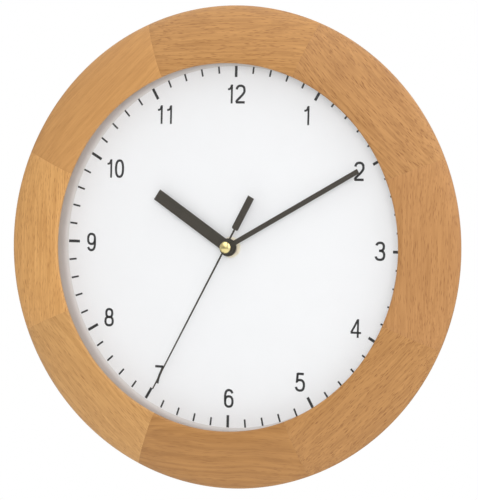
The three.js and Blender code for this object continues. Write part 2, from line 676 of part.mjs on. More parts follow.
// a wheel and a pinion on one arbor whose two pivots turn in the case and in the bridge
function intermediateWheel(pinionLevel, wheelLevel) {
  const pinion = toothedWheel(PINION_TEETH, TRAIN_MODULE, levelBack(wheelLevel), pinionFront(pinionLevel));
  const wheel = wheelAt(wheelLevel, INTERMEDIATE_TEETH, TRAIN_MODULE, 0);
  return join(pinion, wheel, rod(PIVOT_RADIUS, pivotBack, pivotFront, PIVOT_SIDES));
}

function rotor(pinionLevel, magnetBack, magnetFront) {
  const pinion = toothedWheel(PINION_TEETH, TRAIN_MODULE,
    pinionBack(pinionLevel), pinionFront(pinionLevel));
  const magnet = rod(MAGNET_RADIUS, magnetBack, magnetFront, PIPE_SIDES);
  return join(pinion, magnet, rod(PIVOT_RADIUS, pivotBack, pivotFront, PIVOT_SIDES));
}

function placeWheel(name, geometry, finish, [x, y], turn) {
  const mesh = addMesh(name, geometry, finish);
  mesh.position.set(x, y, 0);
  mesh.rotation.z = turn;
}

// the minute motor's magnet lies behind its pinion, the seconds motor's in front
const minuteMagnet = [levelBack(SECONDS_INTERMEDIATE_LEVEL), levelFront(SECONDS_LEVEL)];
const secondsMagnet = [levelBack(SECONDS_LEVEL), levelFront(MINUTE_INTERMEDIATE_LEVEL)];
const magnetReach = LEVEL_GAP - PINION_OVERLAP;

function makeWheelWork() {
  const hourWheel = join(
    wheelAt(HOUR_LEVEL, HOUR_WHEEL_TEETH, hourModule, hourPipeBore),
    tube(hourPipeBore, hourPipeRadius, levelBack(HOUR_LEVEL), hourHandFront, PIPE_SIDES));
  const cannonTurn = 0;
  const motionTurn = meshedTurn(Math.PI / 2, cannonTurn, CANNON_TEETH, MOTION_WHEEL_TEETH);
  const hourTurn = meshedTurn(-Math.PI / 2, motionTurn, MOTION_PINION_TEETH, HOUR_WHEEL_TEETH);
  placeWheel('hour_wheel', hourWheel, whitePlastic, centre, hourTurn);

  const minuteWheel = join(
    pinionOver(MINUTE_LEVEL, MOTION_LEVEL, CANNON_TEETH, MOTION_MODULE, minutePipeBore),
    wheelAt(MINUTE_LEVEL, MINUTE_WHEEL_TEETH, TRAIN_MODULE, minutePipeBore),
    tube(minutePipeBore, minutePipeRadius, levelBack(MINUTE_LEVEL), minuteHandFront, PIPE_SIDES));
  placeWheel('minute_wheel', minuteWheel, whitePlastic, centre, cannonTurn);

  const motionBore = MOTION_POST_RADIUS + RUNNING_GAP;
  const motionWheel = join(
    wheelAt(MOTION_LEVEL, MOTION_WHEEL_TEETH, MOTION_MODULE, motionBore),
    pinionOver(MOTION_LEVEL, HOUR_LEVEL, MOTION_PINION_TEETH, hourModule, motionBore));
  placeWheel('motion_wheel', motionWheel, whitePlastic, motionPlace, motionTurn);

  const minuteDirection = mirrored(TRAIN_ANGLE);
  const minuteTurn = meshedTurn(minuteDirection, cannonTurn, MINUTE_WHEEL_TEETH, PINION_TEETH);
  placeWheel('minute_intermediate_wheel', intermediateWheel(MINUTE_LEVEL, MINUTE_INTERMEDIATE_LEVEL),
    whitePlastic, minuteIntermediatePlace, minuteTurn);
  const minuteRotor = rotor(MINUTE_INTERMEDIATE_LEVEL, minuteMagnet[0], minuteMagnet[1] + magnetReach);
  placeWheel('minute_rotor', minuteRotor, magnetGrey, minuteRotorPlace,
    meshedTurn(mirrored(MOTOR_ANGLE), minuteTurn, INTERMEDIATE_TEETH, PINION_TEETH));

  const secondsWheel = join(
    wheelAt(SECONDS_LEVEL, SECONDS_WHEEL_TEETH, TRAIN_MODULE, 0),
    rod(ARBOR_RADIUS, pivotBack, secondHandFront, PIVOT_SIDES));
  placeWheel('seconds_wheel', secondsWheel, whitePlastic, centre, 0);
  const secondsTurn = meshedTurn(TRAIN_ANGLE, 0, SECONDS_WHEEL_TEETH, PINION_TEETH);
  placeWheel('seconds_intermediate_wheel', intermediateWheel(SECONDS_LEVEL, SECONDS_INTERMEDIATE_LEVEL),
    whitePlastic, secondsIntermediatePlace, secondsTurn);
  const secondsRotor = rotor(SECONDS_INTERMEDIATE_LEVEL, secondsMagnet[0] - magnetReach, secondsMagnet[1]);
  placeWheel('seconds_rotor', secondsRotor, magnetGrey, secondsRotorPlace,
    meshedTurn(MOTOR_ANGLE, secondsTurn, INTERMEDIATE_TEETH, PINION_TEETH));
}

// Motors: a stator sheet with a hole for the magnet and a limb that carries the coil
const statorHole = MAGNET_RADIUS + MAGNET_GAP;
const statorInner = statorHole + STATOR_RIM;
const limbOffset = statorInner + STATOR_WINDOW + STATOR_LIMB / 2;
const statorOuter = limbOffset + STATOR_LIMB / 2;

function makeMotor(name, [x, y], side, [magnetBack, magnetFront]) {
  const middle = (magnetBack + magnetFront) / 2;
  const back = middle - STATOR_SHEET / 2;
  const front = middle + STATOR_SHEET / 2;
  const half = STATOR_LENGTH / 2;
  const plate = block([-statorOuter, -half, back], [statorInner, half, front]);
  const window = block([-statorInner - STATOR_WINDOW, -half + STATOR_YOKE, back - CUT_OVERRUN],
    [-statorInner, half - STATOR_YOKE, front + CUT_OVERRUN]);
  const hole = rod(statorHole, back - CUT_OVERRUN, front + CUT_OVERRUN, PIPE_SIDES);
  const stator = cut(plate, window, hole);
  const coilHalf = half - STATOR_YOKE - COIL_GAP;
  const bore = Math.hypot(STATOR_LIMB, STATOR_SHEET) / 2 + RUNNING_GAP;
  const wound = coilHalf - COIL_FLANGE;
  const coil = turned([[bore, -coilHalf], [COIL_FLANGE_RADIUS, -coilHalf], [COIL_FLANGE_RADIUS, -wound],
    [COIL_RADIUS, -wound], [COIL_RADIUS, wound], [COIL_FLANGE_RADIUS, wound],
    [COIL_FLANGE_RADIUS, coilHalf], [bore, coilHalf]], COIL_SIDES);
  const place = new THREE.Group();
  place.position.set(x, y, 0);
  place.rotation.z = side > 0 ? Math.PI : 0;
  clock.add(place);
  addMesh(`${name}_stator`, stator, steel, place);
  addMesh(`${name}_coil`, alongY(coil).translate(-limbOffset, 0, middle), copperWire, place);
  return { front, postX: x + side * (statorInner + STATOR_WINDOW / 2), postY: half - STATOR_YOKE / 2, y };
}

const minuteMotor = makeMotor('minute_motor', minuteRotorPlace, -1, minuteMagnet);
const secondsMotor = makeMotor('seconds_motor', secondsRotorPlace, 1, secondsMagnet);

// Movement case: a tray with the works above and the cell's bay below
const contactInner = CELL_LENGTH / 2 + CONTACT_GAP + CONTACT_SPRING;
const contactOuter = contactInner + CONTACT_SHEET;
const bayX = contactOuter + CONTACT_GAP;
const motorReach = secondsRotorPlace[0] + limbOffset + COIL_FLANGE_RADIUS;
const insideX = Math.max(bayX, motorReach + MOTOR_SIDE_GAP, ANTENNA_LENGTH / 2 + ANTENNA_END_GAP);
const caseX = insideX + CASE_WALL;
const motorFoot = Math.min(minuteRotorPlace[1], secondsRotorPlace[1]) - STATOR_LENGTH / 2;
const bridgeBottom = POST_LOW[1] - BRIDGE_MARGIN;
const worksBottom = Math.min(motorFoot - MOTOR_FOOT_GAP, bridgeBottom - BOARD_EDGE_GAP);
const bayTop = worksBottom - PARTITION_WALL;
const bayBottom = bayTop - 2 * (CELL_RADIUS + CELL_GAP);
const caseBottom = bayBottom - CASE_WALL;
const cellY = (bayBottom + bayTop) / 2;
const antennaReach = ANTENNA_RADIUS + ANTENNA_GAP + ANTENNA_COIL_WALL;
const antennaY = POST_HIGH[1] + BRIDGE_MARGIN + ANTENNA_CLEARANCE + antennaReach;
const worksTop = antennaY + antennaReach + ANTENNA_TOP_GAP;
const caseTop = worksTop + CASE_WALL;
const antennaZ = caseInside - ANTENNA_LIFT - ANTENNA_RADIUS;
const postPlaces = [POST_LOW, POST_HIGH].flatMap(([x, y]) => [[-x, y], [x, y]]);
const contactTailBack = circuitFront;
const contactTailFront = circuitFront + CONTACT_TAIL_HEIGHT;

function makeCase() {
  const outline = roundedRectangle(-caseX, caseBottom, caseX, caseTop, CASE_CORNER);
  const outer = sheet(outline, coverFront, caseFront);
  const works = block([-insideX, worksBottom, coverFront - CUT_OVERRUN], [insideX, worksTop, caseInside]);
  const bay = block([-bayX, bayBottom, coverFront - CUT_OVERRUN], [bayX, bayTop, caseInside]);
  const notches = [-1, 1].map((side) => {
    const notchX = [side * (contactInner - SCREW_GAP), side * bayX].sort((a, b) => a - b);
    return block([notchX[0], bayTop - CUT_OVERRUN, coverFront - CUT_OVERRUN],
      [notchX[1], worksBottom + CUT_OVERRUN, contactTailFront + SCREW_GAP]);
  });
  const bushHole = rod(bushRadius + RUNNING_GAP, caseInside - CUT_OVERRUN, caseFront + CUT_OVERRUN,
    PIPE_SIDES);
  const shell = cut(outer, works, bay, bushHole, ...notches);

  // every post starts inside the front wall, so that it is one with the case
  const postFoot = (caseInside + caseFront) / 2;
  const boss = ([x, y]) => tube(PIVOT_RADIUS + RUNNING_GAP, BOSS_RADIUS, bossBack, caseInside, PIVOT_SIDES)
    .translate(x, y, 0);
  const bosses = pivotPlaces.map(boss);
  const motionPost = rod(MOTION_POST_RADIUS, bossBack - PINION_OVERLAP, postFoot, PIVOT_SIDES)
    .translate(motionPlace[0], motionPlace[1], 0);
  const tipBack = circuitBack - POST_TIP_RISE;
  const postOutline = [[0, tipBack], [POST_TIP_RADIUS, tipBack], [POST_TIP_RADIUS, bridgeFront],
    [POST_RADIUS, bridgeFront], [POST_RADIUS, postFoot], [0, postFoot]];
  const posts = postPlaces.map(([x, y]) => turned(postOutline, POST_SIDES).translate(x, y, 0));
  const statorPosts = [minuteMotor, secondsMotor].flatMap(({ front, postX, postY, y }) =>
    [-postY, postY].map((offset) =>
      rod(STATOR_POST_RADIUS, front, postFoot, POST_SIDES).translate(postX, y + offset, 0)));
  const halfSaddle = SADDLE_WIDTH / 2;
  const rodBed = alongX(rod(ANTENNA_RADIUS + ANTENNA_GAP, -caseX, caseX, PIPE_SIDES))
    .translate(0, antennaY, antennaZ);
  const saddles = [-1, 1].map((side) => {
    const middle = side * SADDLE_SHARE * ANTENNA_LENGTH / 2;
    return cut(block([middle - SADDLE_THICKNESS / 2, antennaY - halfSaddle, antennaZ],
      [middle + SADDLE_THICKNESS / 2, antennaY + halfSaddle, postFoot]), rodBed);
  });
  const tray = join(shell, ...bosses, motionPost, ...posts, ...statorPosts, ...saddles);
  addMesh('movement_case', tray, blackPlastic);
}

const buttonPlaces = [-1, 0, 1].map((step) => [step * BUTTON_SPACING, BUTTON_PLACE_Y]);
const buttonRadii = [BUTTON_RADIUS, BUTTON_RADIUS, RESET_BUTTON_RADIUS];
const buttonNames = ['set_button', 'receive_button', 'reset_button'];

function makeCover() {
  const outline = roundedRectangle(-caseX, bayTop, caseX, caseTop, CASE_CORNER);
  const plate = sheet(outline, coverBack, coverFront);
  const holes = buttonPlaces.map(([x, y], index) =>
    rod(buttonRadii[index] + BUTTON_GAP, coverBack - CUT_OVERRUN, coverFront + CUT_OVERRUN, PIPE_SIDES)
      .translate(x, y, 0));
  addMesh('movement_cover', cut(plate, ...holes), blackPlastic);
  buttonPlaces.forEach(([x, y], index) => {
    const radius = buttonRadii[index];
    const flange = radius + BUTTON_FLANGE_RIM;
    const button = turned([[0, buttonBack], [radius, buttonBack], [radius, coverFront],
      [flange, coverFront], [flange, buttonFront], [0, buttonFront]], PIPE_SIDES);
    addMesh(buttonNames[index], button, greyPlastic).position.set(x, y, 0);
  });
}

// the bridge closes the train and spaces the circuit board off
function makeBridge() {
  const high = POST_HIGH[1] + BRIDGE_MARGIN;
  const half = secondsRotorPlace[0] + BRIDGE_REACH;
  const plate = block([-half, bridgeBottom, bridgeBack], [half, high, bridgeFront]);
  const spacers = postPlaces.map(([x, y]) =>
    rod(SPACER_RADIUS, circuitFront, bridgeBack + BRIDGE_THICKNESS / 2, POST_SIDES).translate(x, y, 0));
  const through = (radius) => ([x, y]) =>
    rod(radius, circuitFront - CUT_OVERRUN, bridgeFront + CUT_OVERRUN, POST_SIDES).translate(x, y, 0);
  const pivotHoles = pivotPlaces.map(through(PIVOT_RADIUS + RUNNING_GAP));
  const arborHole = through(ARBOR_RADIUS + RUNNING_GAP)(centre);
  const postHoles = postPlaces.map(through(POST_TIP_RADIUS + RUNNING_GAP));
  const bridge = cut(join(plate, ...spacers), ...pivotHoles, arborHole, ...postHoles);
  addMesh('train_bridge', bridge, greyPlastic);
}

function makeCircuit() {
  const edge = insideX - BOARD_EDGE_GAP;
  const low = worksBottom + BOARD_EDGE_GAP;
  const high = POST_HIGH[1] + BRIDGE_MARGIN + BOARD_SHEET;
  const plate = block([-edge, low, circuitBack], [edge, high, circuitFront]);
  const switches = buttonPlaces.map(([x, y]) => block(
    [x - SWITCH_SIZE / 2, y - SWITCH_SIZE / 2, switchBack],
    [x + SWITCH_SIZE / 2, y + SWITCH_SIZE / 2, (circuitBack + circuitFront) / 2]));
  const holeRadius = POST_TIP_RADIUS + RUNNING_GAP;
  const holes = postPlaces.map(([x, y]) =>
    rod(holeRadius, switchBack, circuitFront + CUT_OVERRUN, POST_SIDES).translate(x, y, 0));
  addMesh('circuit_board', cut(join(plate, ...switches), ...holes), boardGreen);
  const half = CHIP_SIZE / 2;
  addMesh('receiver_chip', block([CHIP_PLACE[0] - half, CHIP_PLACE[1] - half, circuitBack - CHIP_HEIGHT],
    [CHIP_PLACE[0] + half, CHIP_PLACE[1] + half, circuitBack]), chipBlack);
  const crystal = alongX(rod(CRYSTAL_RADIUS, -CRYSTAL_LENGTH / 2, CRYSTAL_LENGTH / 2, PIVOT_SIDES));
  addMesh('quartz_crystal', crystal.translate(...CRYSTAL_PLACE, circuitBack - CRYSTAL_RADIUS), steel);
}

function makeAntenna() {
  const half = ANTENNA_LENGTH / 2;
  const core = alongX(rod(ANTENNA_RADIUS, -half, half, PIPE_SIDES)).translate(0, antennaY, antennaZ);
  addMesh('antenna_rod', core, ferrite);
  const bore = ANTENNA_RADIUS + ANTENNA_GAP;
  const coilHalf = ANTENNA_COIL_LENGTH / 2;
  const coil = alongX(tube(bore, antennaReach, -coilHalf, coilHalf, PIPE_SIDES));
  addMesh('antenna_coil', coil.translate(0, antennaY, antennaZ), copperWire);
}

function makeCell() {
  const half = CELL_LENGTH / 2;
  const shoulder = half - CELL_NUB_HEIGHT;
  const cell = turned([[0, -half], [CELL_RADIUS - CELL_BEVEL, -half], [CELL_RADIUS, -half + CELL_BEVEL],
    [CELL_RADIUS, shoulder - CELL_BEVEL], [CELL_RADIUS - CELL_BEVEL, shoulder], [CELL_NUB_RADIUS, shoulder],
    [CELL_NUB_RADIUS, half], [0, half]], CELL_SIDES);
  addMesh('battery_cell', alongX(cell).translate(0, cellY, cellZ), cellSleeve);

  // each contact stands on edge at one end of the bay, and its tail reaches through the partition
  const contactFront = caseInside - CONTACT_BOTTOM_GAP;
  const low = cellY - CONTACT_WIDTH / 2;
  const tailEnd = worksBottom + CONTACT_TAIL_LENGTH;
  const makeContact = (side, name) => {
    const x = [side * contactInner, side * contactOuter].sort((a, b) => a - b);
    const bump = [side * (half + CONTACT_GAP), side * contactOuter].sort((a, b) => a - b);
    const leafHalf = CONTACT_WIDTH / 4;
    const strip = block([x[0], low, contactTailBack], [x[1], bayTop, contactFront]);
    const tail = block([x[0], bayTop - CONTACT_SHEET, contactTailBack], [x[1], tailEnd, contactTailFront]);
    const nub = block([bump[0], cellY - leafHalf, cellZ - leafHalf],
      [bump[1], cellY + leafHalf, cellZ + leafHalf]);
    addMesh(name, join(strip, tail, nub), steel);
  };
  makeContact(1, 'positive_contact');
  makeContact(-1, 'negative_contact');
}

makeFrame();
makeHanger();
makeFront();
makeClips();
makeFitting();
makeHands();
makeWheelWork();
makeCase();
makeCover();
makeBridge();
makeCircuit();
makeAntenna();
makeCell();

// upright, with the wall at y = 0 and the wall screw's axis through the origin
const wallClock = new THREE.Group();
wallClock.name = 'wall_clock';
clock.rotation.x = Math.PI / 2;
clock.position.set(0, wall, -hangRadius);
wallClock.add(clock);

export default wallClock;
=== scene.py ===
"""A radio-controlled wall clock: beech ring, glass, dial, hands and the quartz movement behind.

Points are worked out in the dial's own millimetres: x to 3 o'clock, y to 12 o'clock, z out of the dial
into the room, z = 0 on the dial's face. upright() turns them into the part's frame in metres.
"""

import bmesh
import bpy
import numpy as np
from mathutils import Matrix, Vector


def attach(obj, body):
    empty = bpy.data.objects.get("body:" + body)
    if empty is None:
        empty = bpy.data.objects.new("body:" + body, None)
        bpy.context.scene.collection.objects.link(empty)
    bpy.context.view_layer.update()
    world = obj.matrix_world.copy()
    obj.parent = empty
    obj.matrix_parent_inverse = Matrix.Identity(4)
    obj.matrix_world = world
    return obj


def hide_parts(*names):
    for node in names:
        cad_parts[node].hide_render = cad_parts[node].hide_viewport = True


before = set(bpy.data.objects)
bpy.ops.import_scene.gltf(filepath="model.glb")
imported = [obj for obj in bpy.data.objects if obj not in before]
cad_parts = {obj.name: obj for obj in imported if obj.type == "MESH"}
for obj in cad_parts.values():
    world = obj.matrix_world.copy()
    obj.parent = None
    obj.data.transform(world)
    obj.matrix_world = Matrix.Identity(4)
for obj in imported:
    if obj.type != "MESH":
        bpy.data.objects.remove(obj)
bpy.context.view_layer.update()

# The dial's place in the part's frame, in millimetres, and a millimetre in metres
WALL_DEPTH = 25.0
CENTRE_DROP = 132.5
MM = 0.001

# Heights over the dial's face of what more than one piece touches
WALL = -WALL_DEPTH
DIAL_BACK = -0.5
BOARD_BACK = -4.5
GLASS_BACK = 11.2

# Distances in metres under which points merge, edges vanish and heights count as the same
MERGE_DISTANCE = 1e-7
SLIVER = 1e-8
SAME_LEVEL = 1e-6
# Under the first angle two faces are one flat face. Over the next ones an edge stays sharp, on the case and
# on all other pieces, and over the last one a bevel rounds it.
FLAT_DEGREES = 1.0
CASE_SHARP_DEGREES = 32.0
SHARP_DEGREES = 35.0
BEVEL_DEGREES = 40.0
# How far a cutter sticks out of what it cuts, in millimetres
CUT_OVERRUN = 1.0


# Shapes: each returns an array of points and a list of faces

def upright(points):
    """The dial's millimetres as metres of the part's frame: x stays, z becomes minus y, y becomes z."""
    p = np.asarray(points, float)
    return np.stack([p[..., 0], -WALL_DEPTH - p[..., 2], p[..., 1] - CENTRE_DROP], -1) * MM


def around(points, degrees, at=(0.0, 0.0)):
    """The points turned clockwise about the dial's axis by that many degrees, then moved to a place."""
    a = np.radians(degrees)
    p = np.asarray(points, float)
    x = p[..., 0] * np.cos(a) + p[..., 1] * np.sin(a) + at[0]
    y = p[..., 1] * np.cos(a) - p[..., 0] * np.sin(a) + at[1]
    return np.stack([x, y, p[..., 2]], -1)


def grid_faces(rows, columns, wrap_rows=False, wrap_columns=False):
    """Quads between neighbouring points of a grid, closed round in either direction where asked."""
    r = np.arange(rows if wrap_rows else rows - 1)
    c = np.arange(columns if wrap_columns else columns - 1)
    r, c = np.meshgrid(r, c, indexing="ij")
    r1, c1 = (r + 1) % rows, (c + 1) % columns
    quads = np.stack([r * columns + c, r1 * columns + c, r1 * columns + c1, r * columns + c1], -1)
    return quads.reshape(-1, 4).tolist()


def bar_faces(steps, corners):
    """Quads along a closed section that is carried over some steps, and one face at each end."""
    first = list(range(corners))[::-1]
    last = list(range((steps - 1) * corners, steps * corners))
    return grid_faces(steps, corners, wrap_columns=True) + [first, last]


def lathe(profile, steps=96, at=(0.0, 0.0, 0.0), axis="z"):
    """A profile of (radius, height) carried round an axis: (r cos a, r sin a, h) for a full turn of a."""
    profile = np.asarray(profile, float)
    a = np.linspace(0, 2 * np.pi, steps, endpoint=False)[:, None]
    radius, height = profile[None, :, 0], profile[None, :, 1] + 0 * a
    u, v = radius * np.cos(a), radius * np.sin(a)
    order = {"z": (u, v, height), "x": (height, u, v)}[axis]
    points = np.stack(order, -1) + np.array(at)
    hollow = profile[0][0] > 0 or profile[-1][0] > 0
    return points.reshape(-1, 3), grid_faces(steps, len(profile), wrap_rows=True, wrap_columns=hollow)


def prism(outline, back, front):
    """A flat outline of (x, y) as a plate between two heights, with one face on each side."""
    outline = np.asarray(outline, float)
    n = len(outline)
    points = np.concatenate([np.c_[outline, np.full(n, back)], np.c_[outline, np.full(n, front)]])
    return points, bar_faces(2, n)


def carried(section, path, across, lift):
    """A closed section of (sideways, up) carried along a path: path + sideways * across + up * lift.

    path, across and lift hold one vector for each step, and both ends are closed with one face."""
    section = np.asarray(section, float)
    points = path[:, None] + section[None, :, :1] * across[:, None] + section[None, :, 1:] * lift[:, None]
    return points.reshape(-1, 3), bar_faces(*points.shape[:2])


def ribbon(path, width, back, front):
    """A flat band of even width along a line of (x, y) points: a rectangle carried along the line."""
    path = np.asarray(path, float)
    run = np.gradient(path, axis=0)
    run /= np.linalg.norm(run, axis=1, keepdims=True)
    across = np.c_[run[:, 1], -run[:, 0], np.zeros(len(path))]
    lift = np.tile([0.0, 0.0, 1.0], (len(path), 1))
    half = width / 2
    section = [(-half, back), (half, back), (half, front), (-half, front)]
    return carried(section, np.c_[path, np.zeros(len(path))], across, lift)


def gathered(*shapes):
    """Several shapes as one: their points in a row, their faces renumbered."""
    points, faces, first = [], [], 0
    for shape_points, shape_faces in shapes:
        points.append(shape_points)
        faces += [[i + first for i in face] for face in shape_faces]
        first += len(shape_points)
    return np.concatenate(points), faces


def smooth_line(knots, steps):
    """A curve through every knot, a cubic between neighbours whose slope at a knot is half the chord from
    the knot before to the knot after."""
    knots = np.asarray(knots, float)
    before = np.vstack([2 * knots[:1] - knots[1:2], knots[:-1]])
    after = np.vstack([knots[1:], 2 * knots[-1:] - knots[-2:-1]])
    slope = (after - before) / 2
    t = np.linspace(0, 1, steps, endpoint=False)[None, :, None]
    a, b, m, n = knots[:-1, None], knots[1:, None], slope[:-1, None], slope[1:, None]
    line = (a * (2 * t**3 - 3 * t**2 + 1) + m * (t**3 - 2 * t**2 + t)
            + b * (3 * t**2 - 2 * t**3) + n * (t**3 - t**2))
    return np.vstack([line.reshape(-1, knots.shape[1]), knots[-1:]])


def rounded_outline(x0, y0, x1, y1, radius, steps=6):
    """A rectangle with round corners, anticlockwise from its upper right corner: (x + r cos a, y + r sin a)
    round each corner's middle, with a quarter turn of a."""
    a = np.linspace(0, np.pi / 2, steps + 1)
    corners = [(x1 - radius, y1 - radius, 0), (x0 + radius, y1 - radius, 1),
               (x0 + radius, y0 + radius, 2), (x1 - radius, y0 + radius, 3)]
    return np.concatenate([np.c_[x + radius * np.cos(a + q * np.pi / 2),
                                 y + radius * np.sin(a + q * np.pi / 2)] for x, y, q in corners])


# From shapes to pieces

def smooth_shading(mesh, sharp):
    """Smooth faces, with the edges that turn by more than an angle left sharp."""
    mesh.polygons.foreach_set("use_smooth", np.ones(len(mesh.polygons), bool))
    mesh.set_sharp_from_angle(angle=np.radians(sharp))


def mesh_of(name, shape, sharp=SHARP_DEGREES):
    """A closed mesh from a shape: doubles merged, faces turned outwards, edges sharp above an angle."""
    points, faces = shape
    mesh = bpy.data.meshes.new(name)
    mesh.from_pydata(upright(points).tolist(), [], faces)
    work = bmesh.new()
    work.from_mesh(mesh)
    bmesh.ops.remove_doubles(work, verts=work.verts, dist=MERGE_DISTANCE)
    bmesh.ops.dissolve_degenerate(work, edges=work.edges, dist=SLIVER)
    bmesh.ops.recalc_face_normals(work, faces=work.faces)
    work.to_mesh(mesh)
    work.free()
    smooth_shading(mesh, sharp)
    return mesh


def soften(obj, bevel):
    """Rounds a piece's edges that turn by more than an angle, to a width in millimetres."""
    edge = obj.modifiers.new("edge", "BEVEL")
    edge.width = bevel * MM
    edge.segments = 2
    edge.limit_method = "ANGLE"
    edge.angle_limit = np.radians(BEVEL_DEGREES)
    edge.harden_normals = True


def piece(name, shape, body, material, replaced=(), bevel=0.0, sharp=SHARP_DEGREES):
    """A finished piece on a body: its mesh, its material, the CAD nodes that it stands for."""
    obj = bpy.data.objects.new(name, mesh_of(name, shape, sharp))
    bpy.context.scene.collection.objects.link(obj)
    obj.data.materials.append(material)
    if bevel:
        soften(obj, bevel)
    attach(obj, body)
    if replaced:
        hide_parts(*replaced)
    return obj


def hollowed(obj, shapes):
    """Cuts the shapes out of a piece, with the cut made part of its mesh."""
    for shape in shapes:
        tool = bpy.data.objects.new("tool", mesh_of("tool", shape))
        bpy.context.scene.collection.objects.link(tool)
        cut = obj.modifiers.new("cut", "BOOLEAN")
        cut.operation = "DIFFERENCE"
        cut.solver = "EXACT"
        cut.object = tool
        bpy.context.view_layer.update()
        result = bpy.data.meshes.new_from_object(obj.evaluated_get(bpy.context.evaluated_depsgraph_get()))
        obj.modifiers.remove(cut)
        obj.data = result
        bpy.data.objects.remove(tool)
    obj.data.set_sharp_from_angle(angle=np.radians(SHARP_DEGREES))


def rounded_copy(name, node, material, bevel, height):
    """A CAD node's shape with the edges at one height rounded: flat neighbours joined, then a bevel, and the
    flat face at that height filled anew between its rims."""
    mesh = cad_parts[node].data.copy()
    mesh.name = name
    mesh.materials.clear()
    mesh.materials.append(material)
    work = bmesh.new()
    work.from_mesh(mesh)
    bmesh.ops.remove_doubles(work, verts=work.verts, dist=MERGE_DISTANCE)
    bmesh.ops.dissolve_limit(work, angle_limit=np.radians(FLAT_DEGREES), verts=work.verts,
                             edges=work.edges)
    level = -(WALL_DEPTH + height) * MM

    def is_level(part):
        """Whether an edge or a face lies at that height."""
        return all(abs(v.co.y - level) < SAME_LEVEL for v in part.verts)

    def is_edge(edge):
        """Whether an edge at that height has a face on both sides and turns enough to be rounded."""
        turns = len(edge.link_faces) == 2 and edge.calc_face_angle(0.0) > np.radians(BEVEL_DEGREES)
        return is_level(edge) and turns

    rim = [edge for edge in work.edges if is_edge(edge)]
    bmesh.ops.bevel(work, geom=rim, offset=bevel * MM, segments=3, profile=0.5, affect="EDGES",
                    clamp_overlap=True)
    bmesh.ops.delete(work, geom=[face for face in work.faces if is_level(face)], context="FACES")
    edges = [edge for edge in work.edges if edge.is_boundary]
    filled = bmesh.ops.triangle_fill(work, edges=edges, use_beauty=True, normal=(0, 1, 0))["geom"]
    for face in filled:
        if isinstance(face, bmesh.types.BMFace) and face.normal.y < 0:
            face.normal_flip()
    work.to_mesh(mesh)
    work.free()
    smooth_shading(mesh, CASE_SHARP_DEGREES)
    obj = bpy.data.objects.new(name, mesh)
    bpy.context.scene.collection.objects.link(obj)
    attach(obj, "clock_body")
    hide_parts(node)


def dress(material, *nodes):
    """A finish for CAD nodes that keep their own shape."""
    for name in nodes:
        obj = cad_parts[name]
        if not obj.material_slots:
            obj.data.materials.append(material)
        for slot in obj.material_slots:
            slot.material = material


# Materials. A pattern's scale says how often it repeats in a metre, such as the fine skin of a coat.

SKIN = 5200


